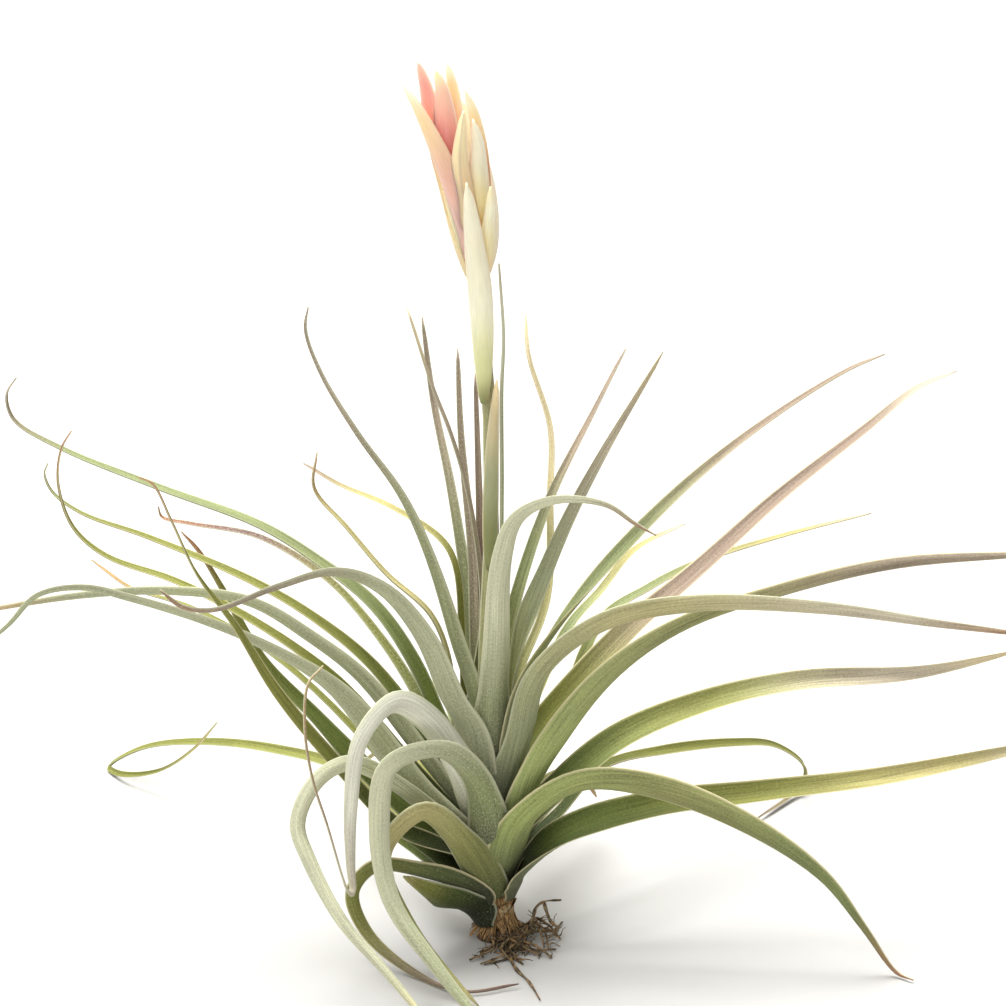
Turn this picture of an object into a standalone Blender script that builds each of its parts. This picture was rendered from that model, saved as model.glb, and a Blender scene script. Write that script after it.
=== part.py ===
"""A flowering air plant: channelled leaves round a short stem, roots at its foot and a bracted flower spike.

The origin is the middle of the flat underside of the root tuft, +Z is up and the plant's front faces -Y.
Lengths are in millimetres here, and the meshes are made in metres.
"""

import math
import random

import bmesh
import bpy
from mathutils import Matrix, Vector

# The viewer who read the routes below looks down at this angle
VIEW_TILT = math.radians(25)
MILLIMETRE = 0.001

# Leaves: thickness of the blade, least width and share of the full width where it clasps the stem, length
# of this clasping foot, width of the thread-like tip, depth of the channel, how far a foot leans out, and
# the shares of the length at which a leaf's three turns are reached
BLADE_THICKNESS = 0.75
FOOT_LEAST = 3.8
FOOT_SHARE = 0.75
FOOT_LENGTH = 22.0
TIP_WIDTH = 1.0
TAPER_POWER = 0.76
CHANNEL = 0.32
SHOULDER_RISE = 5.0
SHOULDER_OUT = 2.5
TURN_SHARES = (0.22, 0.5, 1)
STEPS_PER_SPAN = 2
SEAT_GAP = 0.45

# Stem, stalk and spike
STEM_BOTTOM = 3.7
STEM_TOP = 60.0
STEM_FOOT_RADIUS = 5.2
STEM_TOP_RADIUS = 2.9
STALK_RADIUS = 2.2
STALK_TOP = 196.0
SPIKE_AXIS_RADIUS = 2.0
SPIKE_AXIS_TOP = 219.0
BRACT_THICKNESS = 0.8
BRACT_CHANNEL = 0.6

# Root tuft
ROOT_COLLAR_RADIUS = 5.6
ROOT_COLLAR_TOP_RADIUS = 4.8
ROOT_COLLAR_HEIGHT = 3.0
ROOT_RADIUS = 0.5
ROOT_COUNT = 28
ROOT_START = 3.5
ROOT_REACH = (11, 22)
ROOT_ARC = (-100, 0)
SHORT_ROOT_REACH = (9, 12)
SEED = 7

# Colour, roughness
MATERIALS = {
    "leaf_green": ((0.30, 0.36, 0.20), 0.75),
    "leaf_silver": ((0.50, 0.54, 0.46), 0.8),
    "leaf_olive": ((0.36, 0.38, 0.16), 0.75),
    "stem_brown": ((0.28, 0.15, 0.07), 0.85),
    "root_brown": ((0.07, 0.04, 0.025), 0.9),
    "stalk_green": ((0.38, 0.40, 0.26), 0.7),
    "bract_cream": ((0.90, 0.76, 0.48), 0.6),
    "bract_pink": ((0.78, 0.30, 0.26), 0.6),
}

# The line that stem, stalk and spike grow along: across, behind, height
AXIS = [(0, 0, 0), (-2, 0, 30), (-3.5, 0, 60), (-3, 0, 90), (-1.5, 0, 125), (-2, 0, 160), (-4.5, 0, 195),
        (-9, 0, 222)]

# A leaf: name, material, height on the stem, bearing of its seat round the stem (0 right, 90 behind and
# 270 in front), bearing that it grows along, full width, turns of its face, and its route.
# A route point is (across, up) in the viewer's plane, or (across, up, behind) off the leaf's bearing.
LEAVES = [
    ("leaf_right_01", "leaf_silver", 52, 292, 0, 11, (0, 0, 0),
     [(-0.5, 60, -7), (0.5, 79, -11), (2, 105, -13), (6, 116, -14), (16, 121, -17), (30, 120, -21),
      (38, 115, -24), (44, 112, -26)]),
    ("leaf_right_02", "leaf_green", 55, 57, 0, 5.4, (0, 0, -30),
     [(2, 77, 9.6), (7, 99, 13.4), (15, 122, 20.4), (27, 146, 32), (36, 164, 43)]),
    ("leaf_right_03", "leaf_green", 49, 10, 0, 7.6, (0, 100, 120),
     [(5.5, 74, 2), (10, 94, 4), (18, 114, 8), (29, 135, 14), (46, 163, 21)]),
    ("leaf_right_04", "leaf_green", 46, 68, 0, 3.2, (0, 0, 0),
     [(6, 73, 14), (14, 94, 24), (15, 123, 36), (15, 142, 46), (9, 162, 56), (8, 174, 64)]),
    ("leaf_right_05", "leaf_olive", 44, 331, 0, 7.6, (5, 60, 30),
     [(6, 66, -5), (13, 80, -5.5), (29, 101, -6.5), (51, 124, -7), (73, 142, -8), (96, 157, -9),
      (107, 162, -10)]),
    ("leaf_right_06", "leaf_olive", 36, 64, 62, 4.4, (0, 0, 0), [(19, 84), (29, 96), (38, 107), (53, 115)]),
    ("leaf_right_07", "leaf_olive", 41.2, 24, 33, 10, (30, 15, 15),
     [(10, 54, 7.8), (22, 69), (37, 85), (57, 102), (79, 122), (103, 141), (118, 153), (129, 158)]),
    ("leaf_right_08", "leaf_olive", 33, 46, 48, 5, (0, 0, 0),
     [(14, 50), (29, 87), (43, 97), (57, 104), (79, 111), (106, 118)]),
    ("leaf_right_09", "leaf_olive", 29.4, 326, 0, 10, (-45, -30, -75),
     [(6.6, 34, -6.3), (14, 51, -9.5), (30, 71.5, -10.5), (50, 85.5, -9), (79, 96, -7), (111, 104, -6),
      (152, 107, -6)]),
    ("leaf_right_10", "leaf_green", 37.5, 310, 0, 12, (-5, -30, -30),
     [(5, 45, -4.8), (8, 56, -8), (13, 73, -12.5), (31, 87, -15.5), (57, 92, -19), (90, 91, -22),
      (122, 87, -25), (149, 84, -29)]),
    ("leaf_right_11", "leaf_olive", 23.5, 355, 6, 11.6, (45, 45, 120),
     [(9.6, 30, 2.6), (18, 40.5, 2.4), (34, 54.5), (57, 64.5), (84, 71), (117, 74), (146, 80)]),
    ("leaf_right_12", "leaf_olive", 15.5, 36, 44, 5.2, (0, 40, 40),
     [(18, 34), (29, 46), (47, 51), (66, 53), (79, 52, 80), (87, 46, 88), (86, 41, 90), (74, 32, 73)]),
    ("leaf_right_13", "leaf_olive", 12.5, 345, 0, 12, (45, 45, 90),
     [(7.5, 17, -2.5), (20, 28, -1), (43, 35.5, 0), (73, 39.5, 0), (106, 44, 0), (143, 52, 0),
      (160, 56, 0)]),
    ("leaf_right_14", "leaf_olive", 18.5, 303, 0, 11.4, (-15, -45, 0),
     [(8, 32, -12.5), (23, 42, -13), (45, 41, -13.5), (68, 32, -16), (90, 17, -21), (102, 2, -24),
      (111, -10, -27), (116, -12, -30.5)]),
    ("leaf_left_01", "leaf_silver", 46, 240, 0, 11, (0, 0, 0),
     [(-8.7, 57.5, -8.8), (-13, 65, -10.5), (-21, 83, -12), (-32, 96, -15), (-45, 101, -20),
      (-61, 97, -26), (-78, 91, -33), (-87, 92, -37), (-93, 97, -40)]),
    ("leaf_left_02", "leaf_silver", 54, 205, 196, 6.2, (30, 15, 0),
     [(-6, 62, -4), (-12, 84), (-20, 108), (-27, 123), (-39, 140), (-49, 157), (-53, 169), (-52, 175)]),
    ("leaf_left_03", "leaf_olive", 48.5, 141, 0, 3.6, (0, 0, 0),
     [(-10, 78, 8), (-12, 104, 10), (-16, 111, 12), (-30, 120, 18), (-44, 126, 25), (-54, 132, 31)]),
    ("leaf_left_04", "leaf_green", 43.5, 176, 168, 4.6, (0, 0, -15),
     [(-12, 58), (-14, 78), (-19, 90), (-31, 101), (-42, 114), (-51, 125), (-50, 135)]),
    ("leaf_left_05", "leaf_silver", 45, 118, 112, 5, (0, 0, 0),
     [(-7, 74), (-9, 99), (-13, 125), (-18, 150), (-21, 173)]),
    ("leaf_left_06", "leaf_green", 56, 152, 0, 2.8, (0, 0, 0),
     [(-4.5, 90, 4.5), (-8, 122, 7), (-13, 140, 11), (-18, 153, 15), (-25, 175, 21)]),
    ("leaf_left_07", "leaf_silver", 51, 98, 0, 4.2, (0, 0, 0),
     [(-6, 80, 12), (-7, 108, 20), (-10, 139, 28), (-11, 164, 36)]),
    ("leaf_left_08", "leaf_green", 57, 94, 0, 3.4, (0, 0, 0),
     [(-2, 78, 7), (-4, 94, 9), (-5, 125, 13), (-6, 157, 18)]),
    ("leaf_left_09", "leaf_green", 40, 150, 162, 7.6, (0, 15, 15),
     [(-15, 55), (-24, 76), (-35, 92), (-50, 104), (-66, 114), (-95, 125), (-122, 136), (-135, 144),
      (-137, 151), (-134, 156)]),
    ("leaf_left_10", "leaf_silver", 33.8, 136, 150, 5.2, (0, 15, 0),
     [(-22, 66), (-33, 83), (-47, 99), (-66, 111), (-86, 115), (-94, 117), (-95, 120)]),
    ("leaf_left_11", "leaf_olive", 37, 162, 170, 6.2, (-15, 0, 15),
     [(-16, 49), (-35, 75), (-52, 89), (-69, 99), (-97, 111), (-116, 118), (-124, 124), (-126, 129),
      (-125, 132)]),
    ("leaf_left_12", "leaf_olive", 31.4, 180, 176, 5.6, (-30, -15, 0),
     [(-18, 40), (-43, 69), (-55, 79), (-72, 90), (-90, 99), (-109, 106), (-118, 114), (-122, 126),
      (-121, 136), (-118, 141)]),
    ("leaf_left_13", "leaf_silver", 34.8, 203, 184, 7.4, (45, 45, 60),
     [(-16, 43), (-37, 71), (-52, 83), (-69, 93), (-91, 96), (-115, 95), (-148, 90)]),
    ("leaf_left_14", "leaf_silver", 28.4, 215, 190, 10.4, (45, 15, 30),
     [(-19, 36, -6), (-44, 67), (-62, 79), (-80, 87), (-102, 94), (-115, 97), (-127, 95), (-135, 87),
      (-145, 79)]),
    ("leaf_left_15", "leaf_olive", 20, 204, 196, 7.4, (-45, -60, -30),
     [(-27, 29), (-46, 49), (-62, 69), (-73, 87), (-83, 101), (-90, 116), (-95, 126), (-99, 128)]),
    ("leaf_left_16", "leaf_green", 25, 168, 168, 7.4, (-90, -30, -15),
     [(-16, 30), (-40, 50), (-52, 62), (-66, 77), (-77, 97), (-83, 107), (-88, 113)]),
    ("leaf_left_17", "leaf_green", 22, 150, 150, 4, (0, 0, 0),
     [(-15, 26), (-30, 46), (-60, 76), (-85, 91), (-103, 97), (-109, 101), (-114, 105)]),
    ("leaf_left_18", "leaf_green", 19.3, 130, 135, 5.2, (-15, -20, 0),
     [(-15, 25), (-41, 45), (-62, 51), (-83, 53), (-101, 51, 101), (-110, 46, 106), (-107, 44, 100),
      (-96, 45, 88), (-85, 52, 74), (-79, 59, 68)]),
    ("leaf_curl_01", "leaf_silver", 32, 260, 0, 10.6, (40, 60, -15),
     [(-4.4, 35, -9), (-9, 46.5, -12), (-18, 60, -15.5), (-28, 65, -24), (-37, 55, -32), (-40, 37, -36),
      (-40.2, 20, -37.4), (-39.8, 13.4, -38.6), (-41.2, 13.2, -42), (-47, 32, -43), (-51, 45, -44),
      (-53, 59, -43), (-52, 71, -40), (-48, 76, -37)]),
    ("leaf_curl_02", "leaf_silver", 25.8, 276, 0, 10.6, (-15, 15, 45),
     [(-1.5, 26, -10.5), (-6, 43, -15), (-15, 51, -20), (-29, 47, -24), (-32, 31, -28), (-29, 11, -36),
      (-18, -6, -47), (-7, -20, -57), (1, -29, -70.5)]),
    ("leaf_curl_03", "leaf_green", 14, 260, 0, 10, (15, 15, 0),
     [(-10, 26, -14), (-20, 34, -17.5), (-29, 27, -20), (-31, 20, -22.5), (-23, 3, -30), (-5, -19, -46.6)]),
    ("leaf_curl_04", "leaf_green", 23.2, 230, 0, 7.4, (30, 90, 120),
     [(-12, 28, -6), (-27, 41, -13), (-41, 48, -22), (-50, 43, -28), (-55, 32, -32), (-52, 22, -36),
      (-43, 5, -44), (-31, -9, -51), (-16, -27, -66)]),
    ("leaf_curl_05", "leaf_olive", 11.5, 243, 0, 7, (30, 45, 75),
     [(-22, 18, -12.5), (-34, 19, -14), (-40, 12, -16), (-36, 1, -19), (-23, -10, -27.5),
      (-9, -15, -38.5), (6, -13, -34)]),
    ("leaf_low_01", "leaf_green", 4.6, 214, 0, 14, (30, 52, 56), [(-14, 9.2, -9.9), (-26.2, 16.8, -13.4)]),
    ("leaf_low_02", "leaf_green", 11, 160, 0, 8.5, (0, -40, -40), [(-19, 22, 8), (-30, 28, 12)]),
    ("leaf_low_03", "leaf_green", 16, 190, 0, 9, (-20, -60, -60), [(-18, 24, -1.5), (-28, 29, 0)]),
    ("leaf_back_01", "leaf_green", 19, 68, 0, 8.6, (0, 0, 0),
     [(4, 33, 15), (8, 56, 39), (11, 60, 66), (13, 46, 90)]),
    ("leaf_back_02", "leaf_green", 26.5, 86, 0, 9.4, (0, 0, 0),
     [(0.8, 35, 15), (1, 59, 40), (1, 68, 75), (0, 56, 103)]),
    ("leaf_back_03", "leaf_green", 29, 116, 0, 8.6, (0, 0, 0),
     [(-6.5, 37, 14), (-12, 62, 38), (-20, 70, 64), (-24, 60, 84)]),
    ("leaf_back_04", "leaf_green", 15, 112, 0, 7.4, (0, 0, 0),
     [(-5, 28, 14), (-20, 47, 34), (-32, 51, 52), (-40, 45, 64)]),
    ("leaf_back_05", "leaf_green", 9.5, 68, 0, 7.4, (0, 0, 0),
     [(5, 26, 14.5), (14, 42, 34), (22, 45, 50), (28, 38, 62)]),
]

# Share of the length at which a blade has thinned to its thread, where that isn't its very tip
THREADS = {"leaf_curl_01": 0.66, "leaf_curl_05": 0.8, "leaf_left_15": 0.8, "leaf_left_18": 0.85}


def clear_scene():
    for item in list(bpy.data.objects):
        bpy.data.objects.remove(item, do_unlink=True)


def material(name):
    found = bpy.data.materials.get(name)
    if found:
        return found
    colour, roughness = MATERIALS[name]
    found = bpy.data.materials.new(name)
    found.use_nodes = True
    shader = found.node_tree.nodes["Principled BSDF"]
    shader.inputs["Base Color"].default_value = (*colour, 1)
    shader.inputs["Roughness"].default_value = roughness
    shader.inputs["Metallic"].default_value = 0
    return found


def add_object(name, data, finish, home):
    item = bpy.data.objects.new(name, data)
    item.data.materials.append(material(finish))
    home.objects.link(item)
    return item


def in_space(point, bearing):
    """Turns a route point of the viewer's plane into a place in space."""
    across, up = point[:2]
    behind = point[2] if len(point) == 3 else across * math.tan(math.radians(bearing))
    return Vector((across, behind, (up - behind * math.sin(VIEW_TILT)) / math.cos(VIEW_TILT)))


def smooth_curve(points, steps):
    """Reads points from a centripetal curve that goes through every given point."""
    ends = [points[0] * 2 - points[1], *points, points[-1] * 2 - points[-2]]
    places = [points[0]]
    for p0, p1, p2, p3 in zip(ends, ends[1:], ends[2:], ends[3:]):
        t1 = math.sqrt((p1 - p0).length)
        t2 = t1 + math.sqrt((p2 - p1).length)
        t3 = t2 + math.sqrt((p3 - p2).length)
        for step in range(1, steps + 1):
            t = t1 + (t2 - t1) * step / steps
            a1 = p0.lerp(p1, t / t1)
            a2 = p1.lerp(p2, (t - t1) / (t2 - t1))
            a3 = p2.lerp(p3, (t - t2) / (t3 - t2))
            b1 = a1.lerp(a2, t / t2)
            b2 = a2.lerp(a3, (t - t1) / (t3 - t1))
            places.append(b1.lerp(b2, (t - t1) / (t2 - t1)))
    return places


def ease(value):
    value = min(max(value, 0), 1)
    return value * value * (3 - 2 * value)


def turn_at(turns, share):
    """Eases from one of a blade's turns to the next."""
    knots = [(0, 0), *zip(TURN_SHARES, turns)]
    for (low, before), (high, after) in zip(knots, knots[1:]):
        if share <= high:
            break
    return before + (after - before) * ease((share - low) / (high - low))


def axis_at(height):
    """Returns the place on the growth line at a height."""
    for low, high in zip(AXIS, AXIS[1:]):
        if height <= high[2]:
            break
    return Vector(low).lerp(Vector(high), (height - low[2]) / (high[2] - low[2]))


def stem_radius(height):
    part = (height - STEM_BOTTOM) / (STEM_TOP - STEM_BOTTOM)
    return STEM_FOOT_RADIUS + (STEM_TOP_RADIUS - STEM_FOOT_RADIUS) * part


def blade(name, finish, home, places, facing, width_at, channel_at, thickness, turns=(0, 0, 0), columns=2):
    """Bends a flat grid into a channelled blade along places, and gives it its thickness.

    facing is the way that the blade's upper side looks at its foot. width_at and channel_at take the distance
    from the foot and the blade's length; the channel is the rise of the edges as a share of half the width.
    turns are how far the upper side is turned about the blade's line at the shares in TURN_SHARES.
    """
    distances = [0.0]
    for before, after in zip(places, places[1:]):
        distances.append(distances[-1] + (after - before).length)
    length = distances[-1]
    rows = len(places) - 1
    frames = []
    for index, place in enumerate(places):
        along = (places[min(index + 1, rows)] - places[max(index - 1, 0)]).normalized()
        facing = (facing - along * facing.dot(along)).normalized()
        angle = math.radians(turn_at(turns, distances[index] / length))
        upper = Matrix.Rotation(angle, 3, along) @ facing
        frames.append((place, along.cross(upper), upper))
    sheet = bmesh.new()
    bmesh.ops.create_grid(sheet, x_segments=columns, y_segments=rows, size=1)
    for vert in sheet.verts:
        side = vert.co.x
        index = round((vert.co.y + 1) / 2 * rows)
        place, across, upper = frames[index]
        half = width_at(distances[index], length) / 2
        rise = half * channel_at(distances[index], length) * side * side
        spot = place + across * (half * side) + upper * rise
        vert.co = spot * MILLIMETRE
    bmesh.ops.triangulate(sheet, faces=sheet.faces[:])
    mesh = bpy.data.meshes.new(name)
    sheet.to_mesh(mesh)
    sheet.free()
    item = add_object(name, mesh, finish, home)
    wall = item.modifiers.new("Thickness", "SOLIDIFY")
    wall.thickness = thickness * MILLIMETRE
    wall.offset = 0
    return item


def make_leaf(home, name, finish, level, seat, bearing, full, turns, route):
    """Seats a leaf on the stem. Its foot wraps the stem on a cone, and the blade then tapers to a thread."""
    outward = Vector((math.cos(math.radians(seat)), math.sin(math.radians(seat)), 0))
    seat_radius = stem_radius(level) + SEAT_GAP + BLADE_THICKNESS / 2
    foot = axis_at(level) + outward * seat_radius
    shoulder = axis_at(level + SHOULDER_RISE) + outward * (seat_radius + SHOULDER_OUT)
    places = smooth_curve([foot, shoulder] + [in_space(point, bearing) for point in route], STEPS_PER_SPAN)
    foot_width = min(full, max(FOOT_LEAST, full * FOOT_SHARE))
    thread = THREADS.get(name, 1)

    def width_at(distance, length):
        width = foot_width + (full - foot_width) * ease(distance / FOOT_LENGTH)
        return TIP_WIDTH + (width - TIP_WIDTH) * max(1 - distance / length / thread, 0) ** TAPER_POWER

    def channel_at(distance, length):
        cone_radius = seat_radius + distance * SHOULDER_OUT / SHOULDER_RISE
        wrap = width_at(distance, length) / 4 / cone_radius
        return wrap + (CHANNEL - wrap) * ease(distance / FOOT_LENGTH)

    blade(name, finish, home, places, -outward, width_at, channel_at, BLADE_THICKNESS, turns)


def tube(name, finish, home, places, radii, sides):
    """Makes a closed tube through places, as a curve with filled caps."""
    line = bpy.data.curves.new(name, "CURVE")
    line.dimensions = "3D"
    line.bevel_depth = MILLIMETRE
    line.bevel_resolution = sides // 2 - 2
    line.use_fill_caps = True
    spline = line.splines.new("POLY")
    spline.points.add(len(places) - 1)
    for point, place, radius in zip(spline.points, places, radii):
        point.co = (*(place * MILLIMETRE), 1)
        point.radius = radius
    return add_object(name, line, finish, home)


def as_mesh(item, home):
    """Replaces a curve by its closed mesh."""
    graph = bpy.context.evaluated_depsgraph_get()
    mesh = bpy.data.meshes.new_from_object(item.evaluated_get(graph))
    welded = bmesh.new()
    welded.from_mesh(mesh)
    bmesh.ops.remove_doubles(welded, verts=welded.verts[:], dist=0.01 * MILLIMETRE)
    bmesh.ops.recalc_face_normals(welded, faces=welded.faces[:])
    welded.to_mesh(mesh)
    welded.free()
    name = item.name
    bpy.data.objects.remove(item, do_unlink=True)
    solid = bpy.data.objects.new(name, mesh)
    home.objects.link(solid)
    return solid


def join_to(core, pieces):
    """Fuses every object of a collection into the core, and removes the collection."""
    union = core.modifiers.new("Union", "BOOLEAN")
    union.operation = "UNION"
    union.solver = "EXACT"
    union.operand_type = "COLLECTION"
    union.collection = pieces
    bpy.context.view_layer.update()
    graph = bpy.context.evaluated_depsgraph_get()
    mesh = bpy.data.meshes.new_from_object(core.evaluated_get(graph))
    core.modifiers.clear()
    core.data = mesh
    for item in list(pieces.objects):
        bpy.data.objects.remove(item, do_unlink=True)
    bpy.data.collections.remove(pieces)


def new_collection(name):
    home = bpy.data.collections.new(name)
    bpy.context.scene.collection.children.link(home)
    return home


def make_stem(home):
    """A tapered stem with a slight ring at each old leaf scar of its bare foot."""
    heights = [STEM_BOTTOM, 5, 6.5, 8, 9.5, 11, 20, 30, 45, STEM_TOP]
    swell = [0.92, 1.0, 0.93, 1.02, 0.94, 1.0, 1, 1, 1, 1]
    radii = [stem_radius(height) * grow for height, grow in zip(heights, swell)]
    tube("stem", "stem_brown", home, [axis_at(height) for height in heights], radii, 12)


def make_stalk(home):
    heights = [STEM_TOP + SEAT_GAP] + [STEM_TOP + (STALK_TOP - STEM_TOP) * step / 12 for step in range(1, 13)]
    places = [axis_at(height) for height in heights]
    radii = [STALK_RADIUS - 0.3 * step / 12 for step in range(13)]
    tube("flower_stalk", "stalk_green", home, places, radii, 10)


def make_roots(home):
    """Wiry roots that leave a flat collar under the stem, most of them to the front right."""
    draw = random.Random(SEED)
    collar = bmesh.new()
    middle = Matrix.Translation((0, 0, ROOT_COLLAR_HEIGHT / 2 * MILLIMETRE))
    bmesh.ops.create_cone(collar, cap_ends=True, segments=16, radius1=ROOT_COLLAR_RADIUS * MILLIMETRE,
                          radius2=ROOT_COLLAR_TOP_RADIUS * MILLIMETRE, depth=ROOT_COLLAR_HEIGHT * MILLIMETRE,
                          matrix=middle)
    mesh = bpy.data.meshes.new("root_tuft")
    collar.to_mesh(mesh)
    collar.free()
    core = add_object("root_tuft", mesh, "root_brown", home)
    strands = new_collection("strands")
    for number in range(ROOT_COUNT):
        in_tuft = number % 5 > 0
        bearing = math.radians(draw.uniform(*ROOT_ARC) if in_tuft else draw.uniform(0, 360))
        reach = draw.uniform(*(ROOT_REACH if in_tuft else SHORT_ROOT_REACH))
        start = draw.uniform(0.8, 1.2)
        rise = draw.uniform(-0.5, 5) if in_tuft else 0
        knots = []
        for step in range(5):
            part = step / 4
            bearing += math.radians(draw.uniform(-22, 22)) * part
            radius = ROOT_START + (reach - ROOT_START) * part
            lift = rise * math.sin(math.pi * max(part - 0.15, 0) / 0.85)
            height = max(start + lift - 2 * part, ROOT_RADIUS * 1.2)
            knots.append(Vector((radius * math.cos(bearing), radius * math.sin(bearing), height)))
        places = smooth_curve(knots, 2)
        radii = [ROOT_RADIUS * (1.15 - 0.35 * step / (len(places) - 1)) for step in range(len(places))]
        as_mesh(tube(f"strand_{number}", "root_brown", strands, places, radii, 4), strands)
    routes = {
        "twig": [(3, 1, -2), (8, 0, -6), (10, 5, -6), (11, 8, -6), (13, 9.5, -5), (18, 10, -5)],
        "twig_end": [(13, 9.5, -5), (15, 4, -6), (17, 2, -7), (14, -1, -8)],
        "runner": [(2, -1, -3), (5, -9, -21.5), (9, -13, -31), (12, -17.5, -42)],
    }
    for name, route in routes.items():
        places = smooth_curve([in_space(point, 0) for point in route], 2)
        places = [Vector((p.x, p.y, max(p.z, ROOT_RADIUS * 1.2))) for p in places]
        as_mesh(tube(name, "root_brown", strands, places, [ROOT_RADIUS] * len(places), 4), strands)
    join_to(core, strands)


def bract_width(full, foot, belly):
    """Swells from the foot, with a drawn-out point. A belly of 1 is widest at mid-length, less is lower."""
    def width_at(distance, length):
        part = distance / length
        swell = math.sin(math.pi * min(part, 1) ** belly) ** 0.7 if 0 < part < 1 else 0
        return foot * (1 - part) + TIP_WIDTH * part + (full - foot / 2) * swell
    return width_at


def make_bract(name, finish, home, route, width, facing, foot=2.0, belly=0.7):
    places = smooth_curve([in_space(point, 0) for point in route], 2)
    return blade(name, finish, home, places, Vector(facing), bract_width(width, foot, belly),
                 lambda *_: BRACT_CHANNEL, BRACT_THICKNESS, columns=4)


def make_stalk_bracts(home):
    """Long sheathing bracts that wrap the stalk below the head."""
    make_bract("stalk_bract_cream", "bract_cream", home,
               [(-3.6, 148.4, -3.4), (-3.7, 158, -4.2), (-4, 168, -4.8), (-4.8, 180, -5.6),
                (-6.2, 191.5, -7.4), (-7.4, 201.6, -8.6), (-8.4, 209, -8.6)], 6.2, (0, 1, 0), belly=1.0)
    make_bract("stalk_bract_peach", "bract_cream", home,
               [(-2, 102, -3.4), (-1.8, 118, -3.8), (-1.4, 133, -3.9), (-0.8, 144, -3.9), (0, 155, -3.9)],
               3.8, (0, 1, 0))
    make_bract("stalk_bract_green", "leaf_silver", home,
               [(1.4, 108, -0.6), (1.6, 127, -0.8), (1.5, 152, -1), (2, 167, -1.2), (0.6, 187, -1.6)],
               1.8, (-1, 0, 0), foot=1.6)


def make_spike(home):
    """The head: cream bracts in layers on the spike's axis, and pink bracts on a bud inside them."""
    heights = [STALK_TOP + SEAT_GAP, STALK_TOP + 7, STALK_TOP + 14, SPIKE_AXIS_TOP]
    places = [axis_at(height) for height in heights]
    core = as_mesh(tube("spike_cream", "bract_cream", home, places, [SPIKE_AXIS_RADIUS] * 4, 10), home)
    pieces = new_collection("cream_bracts")
    cream = {
        "left": ([(-6.8, 186, -1), (-8.8, 195, -3), (-12, 205.8, -4.6), (-16, 215.6, -5),
                  (-19.3, 223.2, -4.6), (-22.7, 230.2, -3.6), (-26.2, 236.2, -2.2)], 6.4, (0.35, 0.94, 0)),
        "low_left": ([(-6.5, 181, 0.5), (-8, 188, 0), (-10.2, 194, -0.6), (-12.6, 200.5, -0.8),
                      (-14.8, 207, -0.6)], 4, (0.5, 0.86, 0)),
        "front": ([(-6.5, 193, -1.5), (-7.6, 197, -4.2), (-9.2, 205.8, -5.2), (-10.2, 214.2, -6),
                   (-9.8, 222.6, -5.2), (-9.1, 228.7, -4)], 5.2, (0, 1, 0)),
        "right": ([(-5.2, 187, 0), (-4.2, 196, -2.2), (-4.6, 204.4, -2.8), (-4.7, 212.8, -3.2),
                   (-5, 219.8, -3), (-6.6, 226.5, -2)], 6.6, (-0.3, 0.95, 0)),
        "low_right": ([(-4.6, 181, 0), (-2.6, 187, -2.8), (-2, 195, -4.4), (-1.6, 201.6, -4.8),
                       (-1.7, 208, -4.6)], 4.4, (-0.4, 0.9, 0)),
        "high_right": ([(-5.4, 190, 0.6), (-4, 200, 1), (-3.9, 210, 1), (-4.6, 220, 0.8), (-6.2, 228, 0.4),
                        (-8.9, 234.8, 0)], 5, (-0.3, 0.95, 0)),
        "back_right": ([(-5.5, 183, 1.2), (-4, 194, 4.8), (-4.6, 208, 7), (-7, 221, 7),
                        (-9.6, 232, 6.2)], 7, (0.3, -1, 0)),
        "back_left": ([(-6.4, 183, 1), (-9.6, 194, 4.4), (-13.4, 208, 6.4), (-17.6, 221, 6.4),
                       (-20.4, 232, 5.6)], 7, (0.5, -1, 0)),
    }
    for name, (route, width, facing) in cream.items():
        make_bract(name, "bract_cream", pieces, route, width, facing, foot=4.0)
    join_to(core, pieces)
    route = [(-8.7, 199.4, 0.4), (-9.8, 204, 0.6), (-11.2, 212, 0.4), (-12.6, 218, 0.3)]
    places = [in_space(point, 0) for point in route]
    bud = as_mesh(tube("spike_pink", "bract_pink", home, places, [1.1, 1.3, 1.5, 1.0], 8), home)
    pieces = new_collection("pink_bracts")
    pink = {
        "left": ([(-12, 209, 0.2), (-15.5, 219.8, -0.6), (-18.4, 228.5, -1), (-19.8, 235.2, -1),
                  (-21.8, 242.2, -0.4)], 5.6, (0.2, 0.95, 0)),
        "middle": ([(-11, 208, -0.4), (-12.8, 214, -1.8), (-13.8, 219.8, -2.4), (-14.4, 228.2, -2.6),
                    (-15.2, 234.6, -2), (-16.9, 240, -1)], 6.6, (0, 1, 0)),
        "right": ([(-11, 209, 0.8), (-11.1, 219.8, 1.6), (-11.4, 228.8, 1.8), (-12.3, 236, 1.6),
                   (-13.8, 242, 1)], 4.4, (-0.1, 1, 0)),
    }
    for name, (route, width, facing) in pink.items():
        make_bract(name, "bract_pink", pieces, route, width, facing, foot=2.2)
    join_to(bud, pieces)


def main():
    clear_scene()
    plant = new_collection("air_plant")
    make_roots(plant)
    make_stem(plant)
    make_stalk(plant)
    make_stalk_bracts(plant)
    make_spike(plant)
    for leaf in LEAVES:
        make_leaf(plant, *leaf)


main()
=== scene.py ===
# %% [markdown]
# # An air plant in flower
# This lesson dresses a plain solid model of an air plant as the living plant: velvety grey-green leaves that
# curl and run out into threads, a spike of cream and pink bracts, a bare brown foot and a wiry root tuft.
# The solid model is loaded first and never changed. Every finer piece made here stands where its solid
# stands, so it needs no fitting: the routes of the leaves are the same ones that the solids follow.

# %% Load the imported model
import math
import random

import bmesh
import bpy
from mathutils import Matrix, Vector, noise


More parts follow.
